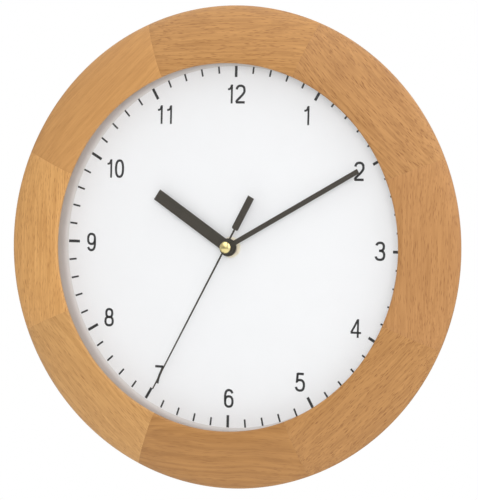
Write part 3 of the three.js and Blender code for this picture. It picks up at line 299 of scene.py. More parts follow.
class Finish:
    """A node material: the shader, and short calls that add a node and join it to others."""

    def __init__(self, name, colour, roughness, metallic=0.0):
        self.material = bpy.data.materials.new(name)
        self.material.use_nodes = True
        self.tree = self.material.node_tree
        self.shader = self.tree.nodes["Principled BSDF"]
        self.shader.inputs["Base Color"].default_value = (*colour, 1.0)
        self.shader.inputs["Roughness"].default_value = roughness
        self.shader.inputs["Metallic"].default_value = metallic
        self.material.diffuse_color = (*colour, 1.0)

    def add(self, kind, settings=(), **inputs):
        """A node of a kind, its settings, and its inputs as values or as the outputs that feed them."""
        node = self.tree.nodes.new("ShaderNode" + kind)
        for key, value in dict(settings).items():
            setattr(node, key, value)
        for key, value in inputs.items():
            self.give(node, key.replace("_", " "), value)
        return node

    def give(self, node, socket, value):
        """A value for an input, or a link to it, the input given by its name or its number."""
        target = node.inputs[int(socket)] if socket.isdigit() else node.inputs[socket]
        if isinstance(value, bpy.types.NodeSocket):
            self.tree.links.new(value, target)
        else:
            target.default_value = value

    def place(self, scale, turn=(0, 0, 0), move=(0, 0, 0)):
        """Object coordinates scaled, turned and moved. One number scales all three alike."""
        scale = scale if isinstance(scale, tuple) else (scale, scale, scale)
        coordinates = self.add("TexCoord").outputs["Object"]
        mapping = self.add("Mapping", Vector=coordinates, Scale=scale, Rotation=turn, Location=move)
        return mapping.outputs["Vector"]

    def stretched(self, vector, scale, move=(0, 0, 0)):
        """A place scaled by its three directions and moved."""
        return self.add("Mapping", Vector=vector, Scale=scale, Location=move).outputs["Vector"]

    def noise(self, vector, detail=2.0, roughness=0.5, distortion=0.0):
        """Cloudy noise over a place."""
        node = self.add("TexNoise", Vector=vector, Scale=1.0, Detail=detail, Roughness=roughness,
                        Distortion=distortion)
        return node.outputs["Fac"]

    def speckle(self, scale, detail=2.0, roughness=0.5, distortion=0.0):
        """Noise fixed to the object."""
        return self.noise(self.place(scale), detail, roughness, distortion)

    def cells(self, vector, distance="EUCLIDEAN"):
        """How far a point lies from the middle of its cell."""
        node = self.add("TexVoronoi", {"feature": "F1", "distance": distance}, Vector=vector, Scale=1.0)
        return node.outputs["Distance"]

    def bands(self, direction, scale, distortion):
        """Light and dark bands across one direction of the object."""
        node = self.add("TexWave", {"bands_direction": direction}, Vector=self.place(1), Scale=scale,
                        Distortion=distortion)
        return node.outputs["Fac"]

    def graded(self, value, low, high, to_low=0.0, to_high=1.0):
        """A value moved from one range onto another, and held inside it."""
        node = self.add("MapRange", Value=value)
        for key, number in (("From Min", low), ("From Max", high), ("To Min", to_low), ("To Max", to_high)):
            self.give(node, key, number)
        return node.outputs["Result"]

    def math(self, operation, a, b=0.0):
        """Two values joined by an operation."""
        node = self.add("Math", {"operation": operation})
        self.give(node, "0", a)
        self.give(node, "1", b)
        return node.outputs["Value"]

    def blend(self, factor, a, b):
        """Two colours mixed by a factor."""
        node = self.add("Mix", {"data_type": "RGBA", "blend_type": "MIX"})
        for socket, value in ((0, factor), (6, a), (7, b)):
            if isinstance(value, tuple):
                value = (*value, 1.0)
            self.give(node, str(socket), value)
        return node.outputs[2]

    def between(self, factor, a, b):
        """Two values mixed by a factor."""
        node = self.add("Mix", {"data_type": "FLOAT"})
        for socket, value in ((0, factor), (2, a), (3, b)):
            self.give(node, str(socket), value)
        return node.outputs[0]

    def vectors(self, operation, *values):
        """Vectors joined by an operation. Gives all outputs of the node."""
        node = self.add("VectorMath", {"operation": operation})
        for index, value in enumerate(values):
            self.give(node, str(index), value)
        return node.outputs

    def distance(self, vector, axes):
        """How far a place lies from the middle, counted along the chosen axes only."""
        flat = self.vectors("MULTIPLY", vector, axes)["Vector"]
        return self.vectors("LENGTH", flat)["Value"]

    def colour(self, output):
        """The shader's colour."""
        self.give(self.shader, "Base Color", output)

    def rough(self, value, low, high):
        """The shader's roughness, from a value between 0 and 1."""
        self.give(self.shader, "Roughness", self.graded(value, 0.0, 1.0, low, high))

    def relief(self, height, depth_mm, strength=1.0):
        """A fine relief of that depth in the surface."""
        bump = self.add("Bump", Height=height, Distance=depth_mm * MM, Strength=strength)
        self.give(self.shader, "Normal", bump.outputs["Normal"])


def toned(colour, share):
    """A colour made lighter or darker by a share, and held at full white."""
    return tuple(min(1.0, c * share) for c in colour)


# Beech: how often each figure repeats in a millimetre, along the grain and in both directions across it
SWAY = (0.014, 0.03, 0.03)
RIPPLE = (0.022, 0.25, 0.21)
PATCH = (0.03, 0.12, 0.12)
# The same for lines and flecks, along and across, before the segment's own fineness
SOFT_BAND = (0.035, 0.2)
FINE_LINE = (0.025, 0.7)
LONG_FLECK = (0.07, 0.85)
SHORT_FLECK = (0.1, 1.1)
# Lines repeat a little less often in the second direction across
SECOND_SHARE = 0.92
# Year rings in a millimetre of the trunk's radius
YEAR_RINGS = 0.33
# How far the grain sways in millimetres: always, and added in full where the rings are strongest
SWAY_LEAST = 2.0
SWAY_ADDED = 5.0
# How much of the contrast red, green and blue take, and the flecks' colour as shares of the dark tone
CONTRAST_SHARES = (0.8, 1.0, 1.3)
FLECK_SHARES = (0.5, 0.34, 0.22)
# How far one segment's grain lies from the next one's, so that no two are alike, in millimetres
GRAIN_SHIFT = 31.0


def beech(number, degrees, tone, contrast, lines, fleck, rings, fineness, trunk):
    """Beech for one segment: fine lines and short brown flecks along its chord over soft bands and year
    rings cut at a slant. tone is its middle colour, contrast how far light and dark lie from it, lines,
    fleck and rings their strengths, fineness how close the lines lie, and trunk where the rings' axis
    runs."""
    light = tuple(c * (1 + contrast * k) for c, k in zip(tone, CONTRAST_SHARES))
    dark = tuple(c * (1 - contrast * k) for c, k in zip(tone, CONTRAST_SHARES))
    f = Finish("beech_%d" % number, light, 0.45)
    f.shader.inputs["Specular IOR Level"].default_value = 0.5
    a = np.radians(degrees)
    home = (-CENTRE_DROP * np.sin(a), WALL_DEPTH, CENTRE_DROP * np.cos(a))
    along = f.place(1 / MM, (0, -a, 0), home)
    own = (GRAIN_SHIFT * number, 0, 0)
    reach = SWAY_LEAST + SWAY_ADDED * rings
    sway = f.graded(f.noise(f.stretched(along, SWAY, own)), 0.0, 1.0, -reach, reach)
    bent = f.vectors("ADD", along, f.add("CombineXYZ", Z=sway).outputs["Vector"])["Vector"]

    turn_y, turn_z, place_y, place_z = trunk
    heart = f.add("Mapping", Vector=bent, Rotation=(0, turn_y, turn_z), Location=(0, place_y, place_z))
    depth = f.distance(heart.outputs["Vector"], (0.0, 1.0, 1.0))
    ring = f.add("TexNoise", {"noise_dimensions": "1D"}, W=depth, Scale=YEAR_RINGS, Detail=2.0)
    ring_tone = f.graded(ring.outputs["Fac"], 0.38, 0.62)

    def lined(length, width, detail):
        """Noise drawn out along the grain, with the segment's own fineness across it."""
        scale = (length, width * fineness, SECOND_SHARE * width * fineness)
        return f.noise(f.stretched(bent, scale, own), detail)

    def strokes(length, width, high, strength):
        """Long thin cells along the grain: dark where a point lies near a cell's middle."""
        vector = f.stretched(bent, (length * fineness, width * fineness, width * fineness), own)
        return f.graded(f.cells(vector), 0.1, high, strength, 0.0)

    ripple = f.add("TexWave", {"bands_direction": "Z"}, Vector=f.stretched(bent, RIPPLE, own), Scale=1.0,
                   Distortion=2.5, Detail=2.0, Detail_Scale=2.0)
    fine = f.graded(lined(*FINE_LINE, detail=4.0), 0.38, 0.62)
    shade = f.between(rings, f.graded(lined(*SOFT_BAND, detail=3.0), 0.3, 0.7), ring_tone)
    shade = f.between(lines, shade, f.between(0.8, ripple.outputs["Fac"], fine))

    patch = f.noise(f.stretched(bent, PATCH, own), detail=1.0)
    marks = f.math("MAXIMUM", strokes(*LONG_FLECK, high=0.26, strength=1.0),
                   strokes(*SHORT_FLECK, high=0.28, strength=0.9))
    marks = f.math("MULTIPLY", marks, f.graded(patch, 0.3, 0.6, 0.65, 1.0))
    marks = f.math("MULTIPLY", marks, fleck)
    brown = tuple(c * k for c, k in zip(dark, FLECK_SHARES))
    f.colour(f.blend(marks, f.blend(shade, dark, light), brown))
    f.rough(fine, 0.4, 0.52)
    f.relief(f.math("SUBTRACT", f.math("MULTIPLY", fine, 0.3), marks), 0.02, 0.4)
    return f.material


def even_paint(name, colour, roughness, grain=0.03, relief=0.006):
    """Paint: an even colour with faint unevenness and the fine skin of a sprayed or printed coat."""
    f = Finish(name, colour, roughness)
    cloud = f.speckle(60, detail=3.0)
    f.colour(f.blend(f.graded(cloud, 0.3, 0.7), toned(colour, 1 - grain), toned(colour, 1 + grain)))
    skin = f.speckle(SKIN)
    f.rough(skin, roughness - 0.05, roughness + 0.05)
    f.relief(skin, relief, 0.4)
    return f.material


# Surround's enamel, darkened by painted shade from the dial up to under the lip: its tones, and how far in
# millimetres each one reaches
ENAMEL_FOOT = (0.665, 0.64, 0.62)
ENAMEL_WALL_PAINTED_SHADE = (0.475, 0.42, 0.392)
ENAMEL_TOP_PAINTED_SHADE = (0.342, 0.29, 0.252)
FOOT_REACH = 3.0
WALL_REACH = 6.5
CLIMB_SHARE = 0.35


def ring_enamel():
    """White enamel on the ring between dial and glass, with painted shade: nearly white where it runs out on
    the dial, darkened to a warm grey of painted shade up under the lip, where the lip's shade falls. The tone
    follows the distance from the dial's axis plus a share of the height over it."""
    f = Finish("ring_enamel", ENAMEL_WALL_PAINTED_SHADE, 0.6)
    place = f.place(1 / MM, (0, 0, 0), (0, WALL_DEPTH, CENTRE_DROP))
    height = f.math("MULTIPLY", f.add("SeparateXYZ", Vector=place).outputs["Y"], -CLIMB_SHARE)
    radius = f.distance(place, (1.0, 0.0, 1.0))
    climb = f.math("SUBTRACT", f.math("ADD", radius, height), SURROUND_INNER - COVE)
    # Painted shade: the tone darkens from the foot up the wall to under the lip
    foot = f.blend(f.graded(climb, 0.0, FOOT_REACH), ENAMEL_FOOT, ENAMEL_WALL_PAINTED_SHADE)
    f.colour(f.blend(f.graded(climb, FOOT_REACH, WALL_REACH), foot, ENAMEL_TOP_PAINTED_SHADE))
    skin = f.speckle(SKIN)
    f.rough(skin, 0.55, 0.65)
    f.relief(skin, 0.01, 0.4)
    return f.material


def moulded(name, colour, roughness=0.5, spark=2600, relief=0.02):
    """Moulded plastic with a fine eroded texture and slight colour drift."""
    f = Finish(name, colour, roughness)
    cloud = f.speckle(90)
    f.colour(f.blend(f.graded(cloud, 0.35, 0.65), toned(colour, 0.92), toned(colour, 1.08)))
    pits = f.speckle(spark)
    f.rough(pits, roughness - 0.08, roughness + 0.08)
    f.relief(pits, relief, 0.5)
    return f.material


def metal(name, colour, roughness, stretch=900, tint=0.06, relief=0.004, bare=1.0):
    """Bare or plated metal: fine tool marks along one direction and a little change of tone."""
    f = Finish(name, colour, roughness, bare)
    marks = f.speckle(stretch, detail=3.0)
    cloud = f.speckle(220)
    f.colour(f.blend(f.graded(cloud, 0.3, 0.7), toned(colour, 1 - tint), toned(colour, 1 + tint)))
    f.rough(marks, roughness - 0.05, roughness + 0.07)
    f.relief(marks, relief, 0.3)
    return f.material


# How often the mesh marks on the hardboard repeat in a metre, and how uneven they are
MESH_MARKS = 300.0
MESH_UNEVEN = 0.4


def hardboard():
    """Hardboard: pressed brown fibre with pale and dark shreds, and the mesh marks of its rough side."""
    f = Finish("hardboard", (0.2, 0.11, 0.055), 0.8)
    shreds = f.speckle((900, 300, 1500), detail=4.0, roughness=0.6, distortion=0.25)
    cloud = f.speckle(26, detail=3.0)
    colour = f.blend(f.graded(shreds, 0.34, 0.66), (0.13, 0.067, 0.032), (0.27, 0.155, 0.08))
    f.colour(f.blend(f.graded(cloud, 0.35, 0.65, 0.0, 0.25), colour, (0.33, 0.2, 0.105)))
    wires = f.math("MULTIPLY", f.bands("X", MESH_MARKS, MESH_UNEVEN), f.bands("Z", MESH_MARKS, MESH_UNEVEN))
    f.rough(shreds, 0.7, 0.9)
    f.relief(f.math("ADD", wires, f.math("MULTIPLY", shreds, 0.6)), 0.12, 0.5)
    return f.material


def clear_glass():
    """Float glass: mirror-smooth, and clear to light that falls through it onto the dial."""
    f = Finish("clear_glass", (1.0, 1.0, 1.0), 0.0)
    f.shader.inputs["Transmission Weight"].default_value = 1.0
    f.shader.inputs["IOR"].default_value = 1.46
    path = f.add("LightPath").outputs
    pass_through = f.math("MAXIMUM", path["Is Shadow Ray"], path["Is Diffuse Ray"])
    clear = f.add("BsdfTransparent")
    mix = f.add("MixShader")
    f.give(mix, "0", pass_through)
    f.give(mix, "1", f.shader.outputs["BSDF"])
    f.give(mix, "2", clear.outputs["BSDF"])
    f.tree.links.new(mix.outputs["Shader"], f.tree.nodes["Material Output"].inputs["Surface"])
    return f.material


def winding(name, along):
    """Enamelled copper wire laid turn by turn: bands across the coil's axis, dark as painted shade in the
    grooves between turns and bright as painted highlight on the turns.
    """
    f = Finish(name, (0.5, 0.18, 0.06), 0.35, 0.8)
    turns = f.bands(along, 900.0, 0.3)
    # Dark colour is painted shade between the turns, light colour painted highlight on them
    f.colour(f.blend(turns, (0.2, 0.06, 0.02), (0.62, 0.25, 0.09)))
    f.rough(turns, 0.28, 0.5)
    f.relief(turns, 0.05, 0.7)
    return f.material


def printed_board():
    """Circuit board: green lacquer over faint straight copper tracks."""
    f = Finish("printed_board", (0.03, 0.16, 0.07), 0.35)
    tracks = f.graded(f.cells(f.place(260), "CHEBYCHEV"), 0.42, 0.46)
    f.colour(f.blend(tracks, (0.025, 0.12, 0.05), (0.06, 0.24, 0.1)))
    f.rough(tracks, 0.3, 0.42)
    f.relief(tracks, 0.03, 0.6)
    return f.material


# Where the cell's dark line starts and where it gives way to the pale band, in millimetres from its middle
BAND_START = 14.0
BAND_EDGE = 15.2
BAND_BLUR = 0.2


def cell_print():
    """A dry cell's printed film: one plain colour, a dark line and a pale band round the positive end, under
    gloss."""
    f = Finish("cell_print", (0.05, 0.2, 0.32), 0.25)
    along = f.add("SeparateXYZ", Vector=f.place(1 / MM)).outputs["X"]
    band = f.graded(along, BAND_START, BAND_START + BAND_BLUR)
    edge = f.graded(along, BAND_EDGE, BAND_EDGE + BAND_BLUR, 1.0, 0.0)
    base = f.blend(f.graded(f.speckle(60), 0.3, 0.7), (0.045, 0.18, 0.29), (0.055, 0.22, 0.35))
    base = f.blend(band, base, (0.5, 0.52, 0.52))
    f.colour(f.blend(f.math("MULTIPLY", band, edge), base, (0.03, 0.1, 0.16)))
    creases = f.speckle((300, 2500, 2500))
    f.rough(creases, 0.2, 0.32)
    f.relief(creases, 0.01, 0.3)
    return f.material


def sintered(name, colour, roughness=0.6):
    """Sintered ferrite or magnet: dark grey with fine bright grains."""
    f = Finish(name, colour, roughness)
    grain = f.speckle(3000, detail=3.0, roughness=0.7)
    f.colour(f.blend(f.graded(grain, 0.45, 0.75), colour, toned(colour, 2.2)))
    f.rough(grain, roughness - 0.1, roughness + 0.1)
    f.relief(grain, 0.02, 0.6)
    return f.material


# Wooden frame: radii from the dial's axis and heights over its face

OUTER_RADIUS = 150.0
LIP_RADIUS = 113.7
REBATE_RADIUS = 117.5
BACK_RADIUS = 139.226
LIP_BACK = 13.1
LIP_EDGE = 14.4
CREST = 15.2
NOSE_HEIGHT = 4.6
NOSE_ROUND = 3.0
LIP_BREAK = 0.15
REBATE_BREAK = 0.25
BACK_BREAK_HEIGHT = 0.5
BACK_BREAK_OUT = 0.35
BACK_BREAK_IN = 0.1
# The face from the lip to the nose: shares of its width, and of the crest's height over the nose
FACE_SHARES = ((0.025, 0.985), (0.09, 1.0), (0.22, 0.98), (0.4, 0.87), (0.58, 0.72), (0.75, 0.53),
               (0.88, 0.34), (0.96, 0.17), (1.0, 0.0))
# The turn from the nose to the side: shares of the nose's rounding, inwards and down
NOSE_SHARES = ((0.15, 0.6), (0.6, 1.3))

SEGMENTS = 8
GLUE_LINE = 0.02
ARC_STEPS = 41
# At its glued ends a segment's section shrinks this much towards its heart, over this many degrees
END_SHARE = 0.9985
END_DEGREES = 0.05
SECTION_HEART = (131.0, -5.0)

HANGER_MIDDLE = 128.25
HANGER_FRONT = WALL + 1.5
HANGER_CORNER = 3.0
HANGER_PLAY = 0.3
# The recess and the pocket by their left, lower, right and upper edges
HANGER_RECESS = (-25.3, 119.5, 25.3, 137.0)
HANGER_POCKET = (-5.6, 120.4, 5.6, 136.1)
POCKET_DEPTH = 8.0
HANGER_SCREWS = (-18.0, 18.0)
SCREW_HOLE_RADIUS = 1.8
SCREW_HOLE_DEPTH = 14.3

# Each segment's wood: middle tone, contrast, strength of lines, flecks and rings, fineness, and the trunk
# as its turn about y and z and its place in y and z
SEGMENT_WOOD = [
    ((0.456, 0.224, 0.070), 0.24, 0.66, 0.80, 0.25, 1.25, (0.00, 0.010, 30.0, -60.0)),
    ((0.436, 0.214, 0.071), 0.26, 0.70, 0.90, 0.30, 1.25, (0.02, 0.015, -45.0, -80.0)),
    ((0.442, 0.213, 0.071), 0.18, 0.66, 0.70, 0.20, 1.35, (0.01, 0.005, 60.0, -150.0)),
    ((0.428, 0.208, 0.064), 0.22, 0.70, 0.95, 0.25, 1.50, (0.03, 0.012, 35.0, -90.0)),
    ((0.398, 0.189, 0.054), 0.23, 0.38, 0.35, 0.68, 0.90, (0.05, 0.060, 22.0, -118.0)),
    ((0.534, 0.282, 0.094), 0.21, 0.58, 0.60, 0.25, 1.20, (0.02, 0.015, 50.0, -70.0)),
    ((0.611, 0.315, 0.101), 0.19, 0.66, 0.78, 0.15, 1.45, (0.00, 0.005, 70.0, -160.0)),
    ((0.522, 0.259, 0.081), 0.15, 0.52, 0.22, 0.25, 1.10, (0.03, 0.030, 28.0, -95.0)),
]


def frame_profile():
    """The section from the lip over the crest and the nose to the back, and up the rebate again.

    Each entry is (radius, height). The face follows a smooth line through the turner's marks."""
    width, rise = OUTER_RADIUS - LIP_RADIUS, CREST - NOSE_HEIGHT
    face = [(LIP_RADIUS + u * width, NOSE_HEIGHT + v * rise) for u, v in FACE_SHARES]
    nose = [(OUTER_RADIUS - u * NOSE_ROUND, NOSE_HEIGHT - v * NOSE_ROUND) for u, v in NOSE_SHARES]
    front = smooth_line([(LIP_RADIUS, LIP_EDGE)] + face + nose, 5)
    front[:, 0] = np.minimum(front[:, 0], OUTER_RADIUS)
    foot = (BACK_RADIUS + BACK_BREAK_OUT, WALL + BACK_BREAK_HEIGHT)
    side = np.linspace(front[-1], foot, 6)[1:]
    back = [(BACK_RADIUS - BACK_BREAK_IN, WALL), (REBATE_RADIUS + REBATE_BREAK, WALL),
            (REBATE_RADIUS, WALL + REBATE_BREAK), (REBATE_RADIUS, LIP_BACK),
            (LIP_RADIUS + LIP_BREAK, LIP_BACK), (LIP_RADIUS, LIP_BACK + LIP_BREAK)]
    return np.vstack([front, side, back])


def segment_shape(middle):
    """One eighth of the ring: the section's (radius, height) carried round an arc, (r sin a, r cos a, h),
    its last steps drawn in slightly so that the glued edge is broken."""
    profile = frame_profile()
    half = 180.0 / SEGMENTS - np.degrees(GLUE_LINE / 2 / OUTER_RADIUS)
    a = np.linspace(-half, half, ARC_STEPS)
    a = np.sort(np.append(a, [-half + END_DEGREES, half - END_DEGREES]))
    heart = np.array(SECTION_HEART)
    ends = np.isclose(np.abs(a), half)
    draw = np.where(ends, END_SHARE, 1.0)[:, None, None]
    section = heart + (profile[None] - heart) * draw
    turn = np.radians(middle + a)[:, None]
    radius = section[..., 0]
    points = np.stack([radius * np.sin(turn), radius * np.cos(turn), section[..., 1]], -1)
    return points.reshape(-1, 3), bar_faces(*points.shape[:2])


def hanger_cuts():
    """The plate's recess, the pocket behind its keyhole and the two screws' holes: rounded plates and rods
    that start behind the frame's back."""
    start = WALL - CUT_OVERRUN
    recess = prism(rounded_outline(*HANGER_RECESS, HANGER_CORNER), start, HANGER_FRONT + HANGER_PLAY)
    pocket = prism(rounded_outline(*HANGER_POCKET, HANGER_CORNER), start, HANGER_FRONT + POCKET_DEPTH)
    end = WALL + SCREW_HOLE_DEPTH
    hole = [(0, start), (SCREW_HOLE_RADIUS, start), (SCREW_HOLE_RADIUS, end), (0, end)]
    return [recess, pocket] + [lathe(hole, 24, (x, HANGER_MIDDLE, 0.0)) for x in HANGER_SCREWS]


def make_frame():
    """The eight segments. The one at 12 o'clock is cut for the hanger plate."""
    for index in range(SEGMENTS):
        degrees = index * 360.0 / SEGMENTS
        wood = beech(index + 1, degrees, *SEGMENT_WOOD[index])
        obj = piece("beech_segment_%d" % (index + 1), segment_shape(degrees), "clock_body", wood,
                    ("frame_segment_%d" % (index + 1),))
        if index == 0:
            hollowed(obj, hanger_cuts())


# Dial

DISC_RADIUS = 117.0
BORE_RADIUS = 4.3
PRINT_HEIGHT = 0.05
# The print's middle, as the photograph shows it beside the hands' axis
PRINT_AT = (0.77, 0.55)

MARKS = 60
MARK_OUTER = 113.0
HOUR_MARK_INNER = 105.3
HOUR_MARK_HALF = 0.88
MINUTE_MARK_INNER = 107.9
MINUTE_MARK_HALF = 0.57
# A mark's six sides by their corners, of which 0 to 3 lie at the back and 4 to 7 in front
BOX_SIDES = [[0, 1, 5, 4], [1, 2, 6, 5], [2, 3, 7, 6], [3, 0, 4, 7], [3, 2, 1, 0], [4, 5, 6, 7]]

# Digits over all, how far two digits of a number stand apart, and the strokes' width, less for some digits
DIGIT_HEIGHT = 11.8
DIGIT_WIDTHS = {"0": 6.4, "1": 6.3, "2": 7.0, "3": 7.1, "4": 7.5, "5": 6.8, "6": 6.8, "7": 6.9, "8": 6.7,
                "9": 6.6}
DIGIT_PITCH = 6.4
STROKE = 1.5
THIN_STROKE = 1.25
THIN_DIGITS = "14"
# Each number's middle, from the middle of the print
NUMBER_AT = {
    12: (0.05, 94.8), 1: (47.95, 81.9), 2: (82.45, 48.4), 3: (97.15, 0.2), 4: (82.85, -47.3),
    5: (47.55, -82.1), 6: (0.35, -94.8), 7: (-47.55, -82.4), 8: (-83.35, -47.8), 9: (-97.05, -0.3),
    10: (-81.65, 46.9), 11: (-47.35, 81.5),
}


def mark_shape():
    """The sixty marks as raised bars: corners at (side * half width, radius, height), turned clockwise by
    six degrees for each mark."""
    mark = np.arange(MARKS)
    hour = mark % 5 == 0
    inner = np.where(hour, HOUR_MARK_INNER, MINUTE_MARK_INNER)
    half = np.where(hour, HOUR_MARK_HALF, MINUTE_MARK_HALF)
    outer = np.full(MARKS, MARK_OUTER)
    corners = np.stack([np.stack([side * half, radius, np.full(MARKS, height)], -1)
                        for height in (0.0, PRINT_HEIGHT)
                        for side, radius in ((-1, inner), (1, inner), (1, outer), (-1, outer))], 1)
    points = around(corners, (mark * 360.0 / MARKS)[:, None], PRINT_AT)
    faces = (mark[:, None, None] * 8 + np.array(BOX_SIDES)).reshape(-1, 4).tolist()
    return points.reshape(-1, 3), faces


def bow(cx, cy, rx, ry, start, end, steps=28, square=2.4):
    """Part of a squarish ellipse: sign(cos a) |cos a|^(2/n) across and the same of sin a up, a in degrees."""
    a = np.radians(np.linspace(start, end, steps))
    power = 2.0 / square
    x = cx + rx * np.sign(np.cos(a)) * np.abs(np.cos(a)) ** power
    y = cy + ry * np.sign(np.sin(a)) * np.abs(np.sin(a)) ** power
    return np.c_[x, y]


def digit_lines(digit):
    """The middle lines of one digit's strokes, as shares of its width and height: arcs of a squarish
    ellipse, smooth lines through a few points, and straight bars."""
    if digit == "0":
        return [bow(0.5, 0.5, 0.5, 0.5, 0, 360, 56)]
    if digit == "1":
        return [np.array([(0.62, -0.07), (0.62, 0.5), (0.62, 1.07)]),
                smooth_line([(0.06, 0.785), (0.3, 0.8), (0.47, 0.87), (0.56, 1.02)], 6)]
    if digit == "2":
        head = bow(0.5, 0.72, 0.47, 0.28, 172, -18, 26)
        neck = smooth_line([head[-1], (0.72, 0.44), (0.36, 0.25), (0.06, 0.09), (0.02, 0.0)], 8)
        return [np.vstack([head, neck[1:]]), np.array([(-0.05, 0.0), (0.5, 0.0), (1.03, 0.0)])]
    if digit == "3":
        upper = bow(0.48, 0.765, 0.42, 0.235, 165, -80, 26)
        lower = bow(0.48, 0.265, 0.48, 0.265, 82, -168, 30)
        return [upper, lower, np.array([(0.36, 0.53), (0.5, 0.53), (0.58, 0.53)])]
    if digit == "4":
        return [np.array([(0.72, -0.055), (0.72, 0.5), (0.72, 1.055)]),
                np.array([(0.68, 1.0), (0.35, 0.62), (0.0, 0.25)]),
                np.array([(-0.06, 0.24), (0.5, 0.24), (1.06, 0.24)])]
    if digit == "5":
        bowl = bow(0.47, 0.315, 0.5, 0.315, 128, -165, 34)
        return [bowl, np.array([(0.14, 1.0), (0.5, 1.0), (0.92, 1.0)]),
                np.array([(0.17, 1.04), (0.13, 0.75), (0.08, 0.49), (0.1, 0.47)])]
    if digit == "6":
        loop = bow(0.5, 0.31, 0.47, 0.31, 0, 360, 48)
        back = np.vstack([bow(0.5, 0.6, 0.48, 0.4, 28, 180, 26), [(0.02, 0.45), (0.03, 0.3)]])
        return [loop, back]
    if digit == "7":
        return [np.array([(-0.03, 0.99), (0.5, 0.99), (1.0, 0.99)]),
                smooth_line([(0.96, 1.0), (0.74, 0.7), (0.5, 0.4), (0.36, 0.15), (0.3, -0.055)], 8)]
    if digit == "8":
        return [bow(0.5, 0.755, 0.4, 0.245, 0, 360, 44), bow(0.5, 0.26, 0.49, 0.26, 0, 360, 48)]
    loop = bow(0.5, 0.69, 0.47, 0.31, 0, 360, 48)
    back = np.vstack([bow(0.5, 0.4, 0.48, 0.4, -152, 0, 26), [(0.98, 0.55), (0.97, 0.7)]])
    return [loop, back]


def number_shapes():
    """All twelve numbers as flat raised strokes, each digit in its own box round the number's middle."""
    shapes = []
    for number in range(1, 13):
        x0, y0 = np.add(NUMBER_AT[number], PRINT_AT)
        text = str(number)
        for i, digit in enumerate(text):
            cx = x0 + (i - (len(text) - 1) / 2) * DIGIT_PITCH
            tall, wide = DIGIT_HEIGHT - STROKE, DIGIT_WIDTHS[digit] - STROKE
            stroke = THIN_STROKE if digit in THIN_DIGITS else STROKE
            for line in digit_lines(digit):
                path = np.c_[cx + (line[:, 0] - 0.5) * wide, y0 + (line[:, 1] - 0.5) * tall]
                shapes.append(ribbon(path, stroke, 0.0, PRINT_HEIGHT))
    return shapes


def make_dial(white, print_black):
    """The dial, a flat disc with a hole turned from its section, and the marks and numbers on it."""
    section = [(BORE_RADIUS, DIAL_BACK), (DISC_RADIUS, DIAL_BACK), (DISC_RADIUS, 0), (BORE_RADIUS, 0)]
    piece("dial_sheet", lathe(section, 192), "clock_body", white, ("dial_plate",))
    piece("minute_marks", mark_shape(), "clock_body", print_black)
    piece("dial_numbers", gathered(*number_shapes()), "clock_body", print_black)


# Surround

SURROUND_INNER = 115.2
SURROUND_BREAK = 0.3
COVE = 2.6
COVE_RISE = 4.2
COVE_FOOT = 0.02
COVE_STEPS = 13
# The straight wall's upper and lower point over the cove
WALL_TOP = 9.5
WALL_FOOT = COVE_RISE + 0.8


def make_surround(shaded_enamel):
    """The ring between dial and glass, turned from its section: a straight wall that runs out on the dial in
    a quarter of an ellipse, inwards by (1 - cos a) of its width and up by (1 - sin a) of its rise."""
    a = np.radians(np.linspace(90, 0, COVE_STEPS))
    cove = np.c_[SURROUND_INNER - COVE * (1 - np.cos(a)), COVE_FOOT + COVE_RISE * (1 - np.sin(a))]
    outside = [(DISC_RADIUS, 0.0), (DISC_RADIUS, GLASS_BACK), (SURROUND_INNER + SURROUND_BREAK, GLASS_BACK),
               (SURROUND_INNER, GLASS_BACK - SURROUND_BREAK)]
    wall = np.c_[np.full(4, SURROUND_INNER), np.linspace(WALL_TOP, WALL_FOOT, 4)]
    ring = np.vstack([outside, wall, cove[::-1]])
    # The ring's enamel carries painted shade, darker up the wall under the lip
    piece("white_ring", lathe(ring, 192), "clock_body", shaded_enamel, ("dial_surround",))


# Hands. Each has its angle in the photograph and its back and front over the dial.

HOUR_ANGLE = 303.0
MINUTE_ANGLE = 60.0
SECOND_ANGLE = 207.5
HOUR_LEVELS = (4.6, 5.1)
MINUTE_LEVELS = (6.8, 7.3)
SECOND_LEVELS = (9.0, 9.3)
HAND_BREAK = 0.07
# A bar's hub radius, half width and reach
HOUR_BAR = (5.6, 3.75, 58.4)
MINUTE_BAR = (4.5, 1.55, 98.0)

NEEDLE_HUB = 2.6
NEEDLE_ROOT_HALF = 0.6
NEEDLE_TIP_HALF = 0.425
NEEDLE_REACH = 101.8
WEIGHT_HALF = 2.25
WEIGHT_CHAMFER = 0.6
WEIGHT_START = -12.7
WEIGHT_END = -35.6

HOUR_COLLAR = 3.4
MINUTE_COLLAR = 2.5
SECOND_COLLAR = 1.4
COLLAR_DEPTH = 0.9
COLLAR_SINK = 0.05

CAP_RADIUS = 3.58
CAP_RIM = 0.22
CAP_HEIGHT = 1.7
CAP_BREAK = 0.15
# The dome starts this far inside the ball's edge, and the rim ends this far under that edge
DOME_INSET = 0.06
DOME_GAP = 0.04


def bar_outline(hub, half, reach, steps=40):
    """A bar that runs from a round hub to its square end: the hub's arc (r sin a, r cos a), then the bar's
    two corners."""
    start = np.arcsin(half / hub)
    a = np.linspace(start, 2 * np.pi - start, steps)
    arc = np.c_[hub * np.sin(a), hub * np.cos(a)]
    return np.vstack([arc, [(-half, reach), (half, reach)]])


